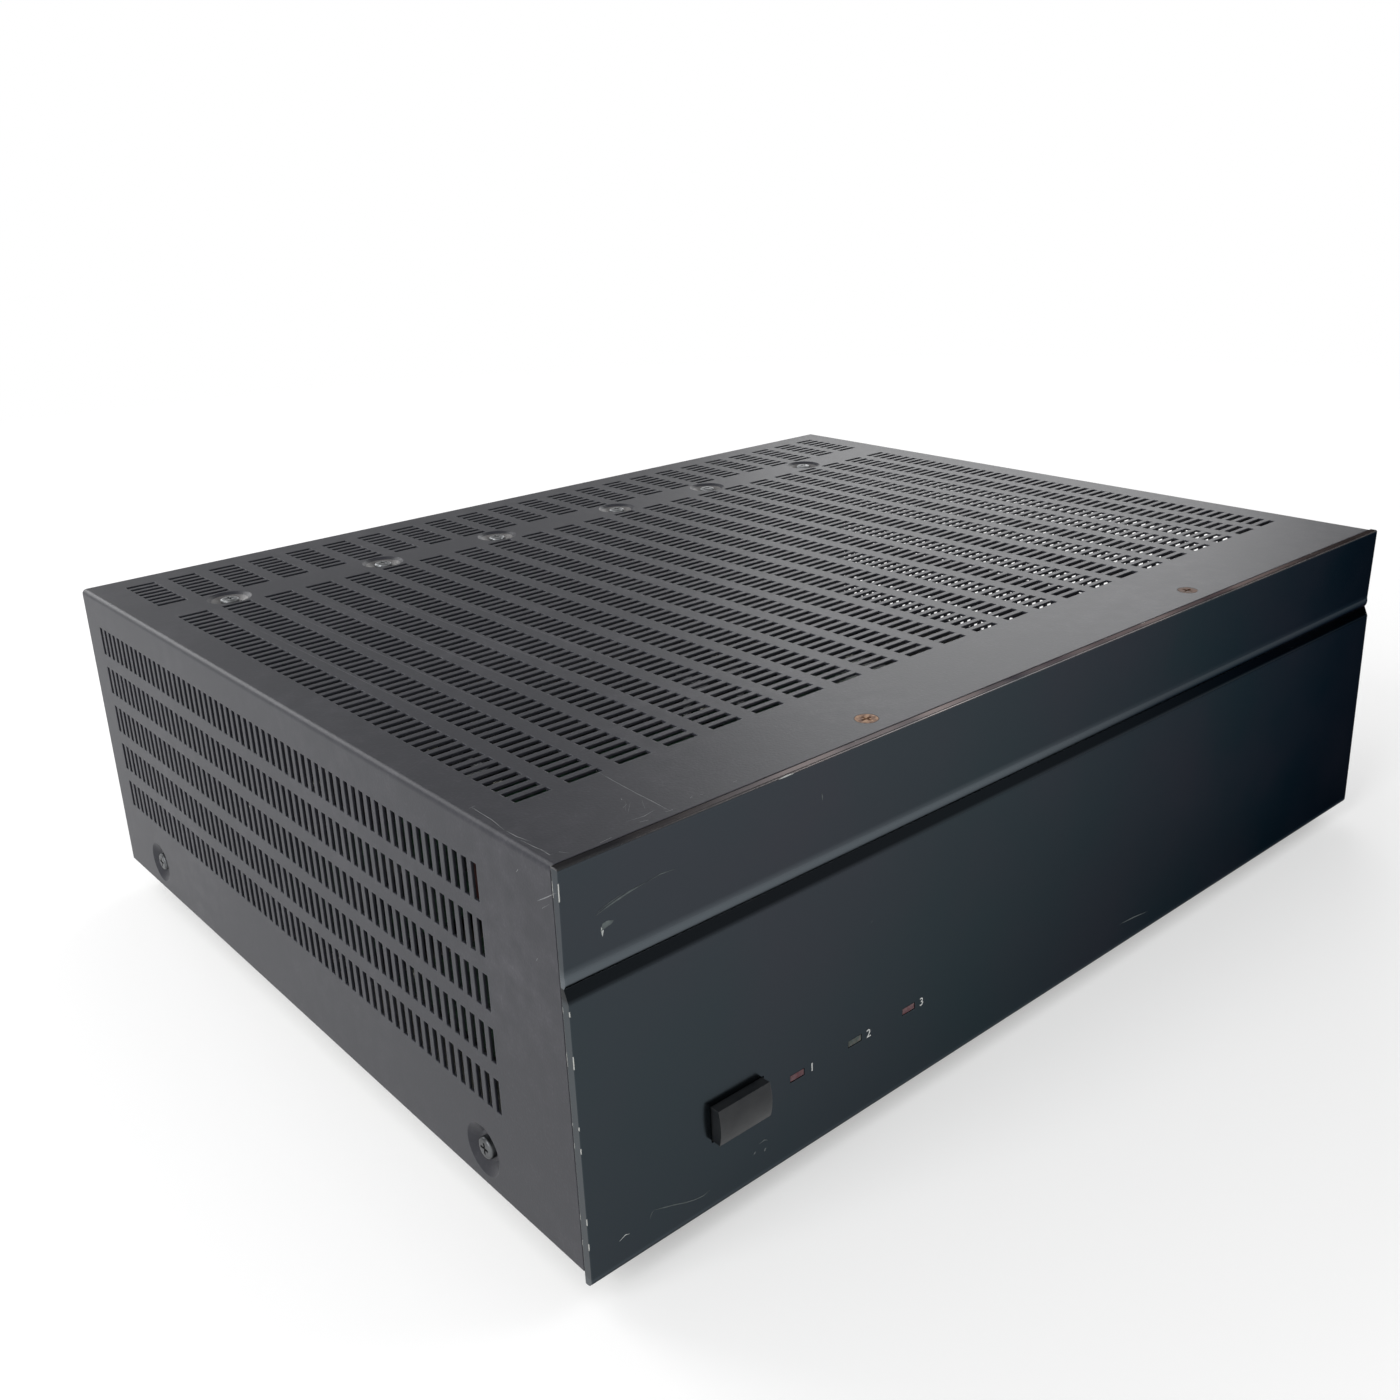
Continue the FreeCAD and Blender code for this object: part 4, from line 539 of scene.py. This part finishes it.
def addScratch(bm, points, width, outward):
    # a ribbon that follows the points on a flat face, narrow at both ends
    thickness = mm(scuffs["proud"])
    halves = [scuffs["tip"]] + [0.5] * (len(points) - 2) + [scuffs["tip"]]
    across = outward.cross((points[1] - points[0]).normalized())
    corners = []
    for side, lift in ((-1, 0), (1, 0), (1, 1), (-1, 1)):
        offset = across * (side * width * halves[0]) + outward * (lift * thickness)
        corners.append(bm.verts.new(points[0] + offset))
    section = bm.faces.new(corners)
    for index in range(1, len(points)):
        grown = bmesh.ops.extrude_face_region(bm, geom=[section])
        bmesh.ops.delete(bm, geom=[section], context="FACES_ONLY")
        verts = [g for g in grown["geom"] if isinstance(g, bmesh.types.BMVert)]
        section = next(g for g in grown["geom"] if isinstance(g, bmesh.types.BMFace))
        bmesh.ops.translate(bm, verts=verts, vec=points[index] - points[index - 1])
        widening = halves[index] / halves[index - 1] - 1
        for vert in verts:
            vert.co += across * (vert.co - points[index]).dot(across) * widening


def bandDepth(height):
    # how far the leaning upper band lies behind the lower face at this height, in metres
    top = panelHigh.z * 1000
    low = top - panelFinish["bandHeight"] + panelFinish["grooveSlope"]
    if height < low:
        return 0.0
    share = (height - low) / (top - panelFinish["topRound"] - low)
    foot, head = panelFinish["bandFootSetback"], panelFinish["bandTopSetback"]
    return mm(foot + (head - foot) * share - scuffs["proud"])


def panelMarks(name, marks, material):
    bm = bmesh.new()
    for points, width in marks:
        places = [Vector((mm(x), panelLow.y + bandDepth(z), mm(z))) for x, z in points]
        addScratch(bm, places, mm(width), Vector((0, -1, 0)))
    finishPiece(bm, name, "chassis", material)


def coverMarks(name, material):
    # knocks and scratches round the cover's front left corner
    bm = bmesh.new()
    for points, width in scuffs["top"]:
        places = [Vector((mm(x), mm(y), coverHigh.z)) for x, y in points]
        addScratch(bm, places, mm(width), Vector((0, 0, 1)))
    for points, width in scuffs["side"]:
        places = [Vector((coverLow.x, mm(y), mm(z))) for y, z in points]
        addScratch(bm, places, mm(width), Vector((-1, 0, 0)))
    finishPiece(bm, name, "chassis", material)


panelMarks("panel_smears", scuffs["dull"],
           platedMetal("rubbedAluminium", "#5a6262", "#454c4e", 0.4, amount=0.7, metallic=0.6))
panelMarks("panel_chips", scuffs["bright"],
           platedMetal("bareAluminium", "#c3c6c4", "#8f9594", 0.35, amount=0.4, metallic=0.7))
coverMarks("cover_scuffs",
           platedMetal("scratchedSteel", "#919394", "#5d5f63", 0.45, amount=0.7, metallic=0.4))
print("scuffs made")


printed = {
    "proud": 0.05, "white": "#c9cbc9", "grey": "#9a9c9c",
    "textPerDigit": 1.38,  # the font's size is this many times its digits' height
    "lampDigits": 3.1, "lampGap": 3.4, "lampDrop": 0.4,
    "rearDigits": 3.4, "overJack": 7.5, "overHeader": 8.6, "headerSide": 5,
    "ticks": 11, "tickStart": 6.8, "tickLength": 1.3, "tickWidth": 0.3,
    "divider": 0.35, "dividerHeights": (32, 116),
}


def addNumber(bm, text, height, place, turn):
    # a plain number as a thin raised print, its foot centred on the place
    curve = bpy.data.curves.new("number", "FONT")
    curve.body = text
    curve.size = mm(height * printed["textPerDigit"])
    curve.extrude = mm(printed["proud"])
    curve.align_x = "CENTER"
    curve.resolution_u = 4
    holder = addPiece("number", curve)
    bpy.context.view_layer.update()
    mesh = bpy.data.meshes.new_from_object(holder)
    mesh.transform(Matrix.Translation(place) @ turn)
    bm.from_mesh(mesh)
    bpy.data.objects.remove(holder)
    bpy.data.curves.remove(curve)
    bpy.data.meshes.remove(mesh)


facingFront = Matrix.Rotation(math.radians(90), 4, "X")
facingRear = Matrix.Rotation(math.radians(180), 4, "Z") @ facingFront
inkWhite = screenInk("screenInkWhite", printed["white"])
inkGrey = screenInk("screenInkGrey", printed["grey"])


def lampNumbers():
    bm = bmesh.new()
    for number, lamp in enumerate(("led_power", "led_active", "led_protect"), 1):
        low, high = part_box(lamp)
        foot = Vector((high.x + mm(printed["lampGap"]), panelLow.y,
                       low.z - mm(printed["lampDrop"])))
        addNumber(bm, str(number), printed["lampDigits"], foot, facingFront)
    finishPiece(bm, "lamp_numbers", "chassis", inkWhite)


def rearNumbers():
    # plain channel numbers over the input jacks and over the speaker headers, two to a header
    bm = bmesh.new()
    for number, jack in enumerate(mountPlaces("input_jack"), 1):
        foot = Vector((jack.x, rearFaceY, jack.z + mm(printed["overJack"])))
        addNumber(bm, str(number), printed["rearDigits"], foot, facingRear)
    for header, middle in enumerate(mountPlaces("speaker_header")):
        for side, number in ((-1, 2 * header + 1), (1, 2 * header + 2)):
            foot = Vector((middle.x + side * mm(printed["headerSide"]), rearFaceY,
                           middle.z + mm(printed["overHeader"])))
            addNumber(bm, str(number), printed["rearDigits"], foot, facingRear)
    finishPiece(bm, "rear_numbers", "chassis", inkWhite)


def levelScales():
    # ticks round each level knob, and a line between the zones
    bm = bmesh.new()
    proud = mm(printed["proud"])
    half = mm(printed["tickWidth"]) / 2
    start = mm(printed["tickStart"])
    end = start + mm(printed["tickLength"])
    for joint in frame["joints"]:
        if not joint["name"].endswith("_turn"):
            continue
        x, _, z = joint["pos_m"]
        low, high = joint["range_deg"]
        for tick in range(printed["ticks"]):
            angle = math.radians(low + (high - low) * tick / (printed["ticks"] - 1))
            verts = addBox(bm, (-half, 0, start), (half, proud, end))
            turn = Matrix.Translation((x, rearFaceY, z)) @ Matrix.Rotation(angle, 4, "Y")
            bmesh.ops.transform(bm, matrix=turn, verts=verts)
    jacks = mountPlaces("input_jack")
    half = mm(printed["divider"]) / 2
    low, high = (mm(height) for height in printed["dividerHeights"])
    for left, right in zip(jacks[1::2], jacks[2::2]):
        middle = (left.x + right.x) / 2
        addBox(bm, (middle - half, rearFaceY, low), (middle + half, rearFaceY + proud, high))
    finishPiece(bm, "level_scales", "chassis", inkGrey)


lampNumbers()
rearNumbers()
levelScales()
print("prints made")


pointerBar = {"tint": "#d9d8d0", "width": 0.9, "start": 1.1, "length": 4.2, "depth": 0.75,
              "below": 0.05, "round": 0.1}


def knobPointers():
    # a white line let into each knob's face
    inlay = mouldedPlastic("pointerInlay", pointerBar["tint"], 0.5)
    half = mm(pointerBar["width"]) / 2
    start = mm(pointerBar["start"])
    end = start + mm(pointerBar["length"])
    for knob in plastics["mouldedKnob"][1]:
        low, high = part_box(knob)
        middle = (low + high) / 2
        bm = bmesh.new()
        addBox(bm, (middle.x - half, high.y - mm(pointerBar["depth"]), middle.z + start),
               (middle.x + half, high.y - mm(pointerBar["below"]), middle.z + end))
        bmesh.ops.bevel(bm, geom=bm.edges[:], offset=mm(pointerBar["round"]), affect="EDGES",
                        segments=2, profile=0.5, material=-1)
        finishPiece(bm, knob + "_pointer", knob, inlay)


knobPointers()
print("knob pointers made")


stageLook = {
    "floorSize": 30.0, "floor": "#ececec", "floorSeen": "#d4d4d4", "floorGlow": 0.34,
    "worldFill": 0.5, "ceiling": 0.3,
    "whiteBelow": 0.1, "darkAbove": 0.26,  # sines of the heights over the horizon
    "shadowReach": (0.5, 1.6),  # the floor's shading fades to white between these, in metres
    "aim": 0.07,  # the height in metres that the lamps point at
    "lamps": [
        # name, place in metres, size in metres, strength in watts
        ("keyLeft", (-1.7, -0.2, 1.05), 1.0, 21),
        ("skyBack", (-0.6, 1.9, 1.25), 1.4, 22),
        ("fillFront", (-0.9, -2.2, 1.2), 1.6, 8),
        ("softBack", (1.6, 1.1, 1.0), 1.0, 8),
        ("stripRight", (1.5, -1.0, 1.35), 0.8, 6),
    ],
}


def seenMask(tree, path):
    # 1 for rays from the camera, off gloss and through glass: those see the white studio
    seen = addNode(tree, "Math", [path["Is Camera Ray"], path["Is Glossy Ray"]],
                   operation="MAXIMUM")
    return addNode(tree, "Math", [seen, path["Is Transmission Ray"]], operation="MAXIMUM")


def makeFloor():
    # pale near the object, where it shows the shadow, and plain white farther out
    bm = bmesh.new()
    bmesh.ops.create_grid(bm, x_segments=1, y_segments=1, size=stageLook["floorSize"])
    mesh = bpy.data.meshes.new("floor")
    bm.to_mesh(mesh)
    bm.free()
    material, tree, place = newMaterial("paleFloor")
    seen = seenMask(tree, addNode(tree, "LightPath").outputs)
    plain = addNode(tree, "BsdfDiffuse", {"Color": colour(stageLook["floor"])})
    dim = addNode(tree, "BsdfDiffuse", {"Color": colour(stageLook["floorSeen"])})
    glow = addNode(tree, "Emission", {"Strength": stageLook["floorGlow"]})
    near = addNode(tree, "AddShader", [dim, glow])
    white = addNode(tree, "Emission", {"Strength": 1.0})
    away = addNode(tree, "VectorMath", [place], operation="LENGTH").outputs["Value"]
    far = addNode(tree, "MapRange", [away, *stageLook["shadowReach"]])
    shown = addNode(tree, "MixShader", [far, near, white])
    mixed = addNode(tree, "MixShader", [seen, plain, shown])
    addNode(tree, "OutputMaterial", {"Surface": mixed})
    mesh.materials.append(material)
    addPiece("floor", mesh)


def makeWorld():
    # a white backdrop up to a little above the horizon, and a grey ceiling that only
    # reflections show
    world = bpy.data.worlds.new("studio")
    bpy.context.scene.world = world
    world.use_nodes = True
    tree = world.node_tree
    tree.nodes.clear()
    white = (1, 1, 1, 1)
    path = addNode(tree, "LightPath").outputs
    direction = addNode(tree, "TexCoord").outputs["Generated"]
    height = addNode(tree, "SeparateXYZ", [direction]).outputs["Z"]
    level = addNode(tree, "MapRange", [height, stageLook["whiteBelow"], stageLook["darkAbove"],
                                       1.0, stageLook["ceiling"]])
    level = addNode(tree, "Math", [level, path["Is Camera Ray"]], operation="MAXIMUM")
    fill = addNode(tree, "Background", {"Color": white, "Strength": stageLook["worldFill"]})
    backdrop = addNode(tree, "Background", {"Color": white, "Strength": level})
    mixed = addNode(tree, "MixShader", [seenMask(tree, path), fill, backdrop])
    addNode(tree, "OutputWorld", {"Surface": mixed})


def makeLamps():
    target = Vector((0, 0, stageLook["aim"]))
    for name, place, size, power in stageLook["lamps"]:
        light = bpy.data.lights.new(name, "AREA")
        light.shape = "SQUARE"
        light.size = size
        light.energy = power
        lamp = addPiece(name, light)
        lamp.location = place
        lamp.rotation_euler = (target - Vector(place)).to_track_quat("-Z", "Y").to_euler()
        lamp.visible_camera = False


cameraView = {
    "place": (-393.36, -448.63, 309.74), "turn": (70.452, 1.979, -41.4),
    "lens": 36.483, "shift": (-0.01776, -0.03543),
}


def makeCamera():
    data = bpy.data.cameras.new("camera")
    data.sensor_width = 36
    data.lens = cameraView["lens"]
    data.shift_x, data.shift_y = cameraView["shift"]
    data.clip_start = 0.01
    camera = addPiece("camera", data)
    camera.location = [mm(value) for value in cameraView["place"]]
    camera.rotation_euler = [math.radians(value) for value in cameraView["turn"]]
    bpy.context.scene.camera = camera


makeFloor()
makeWorld()
makeLamps()
makeCamera()
bpy.context.scene.view_settings.view_transform = "Standard"
print("stage, lamps and camera made")
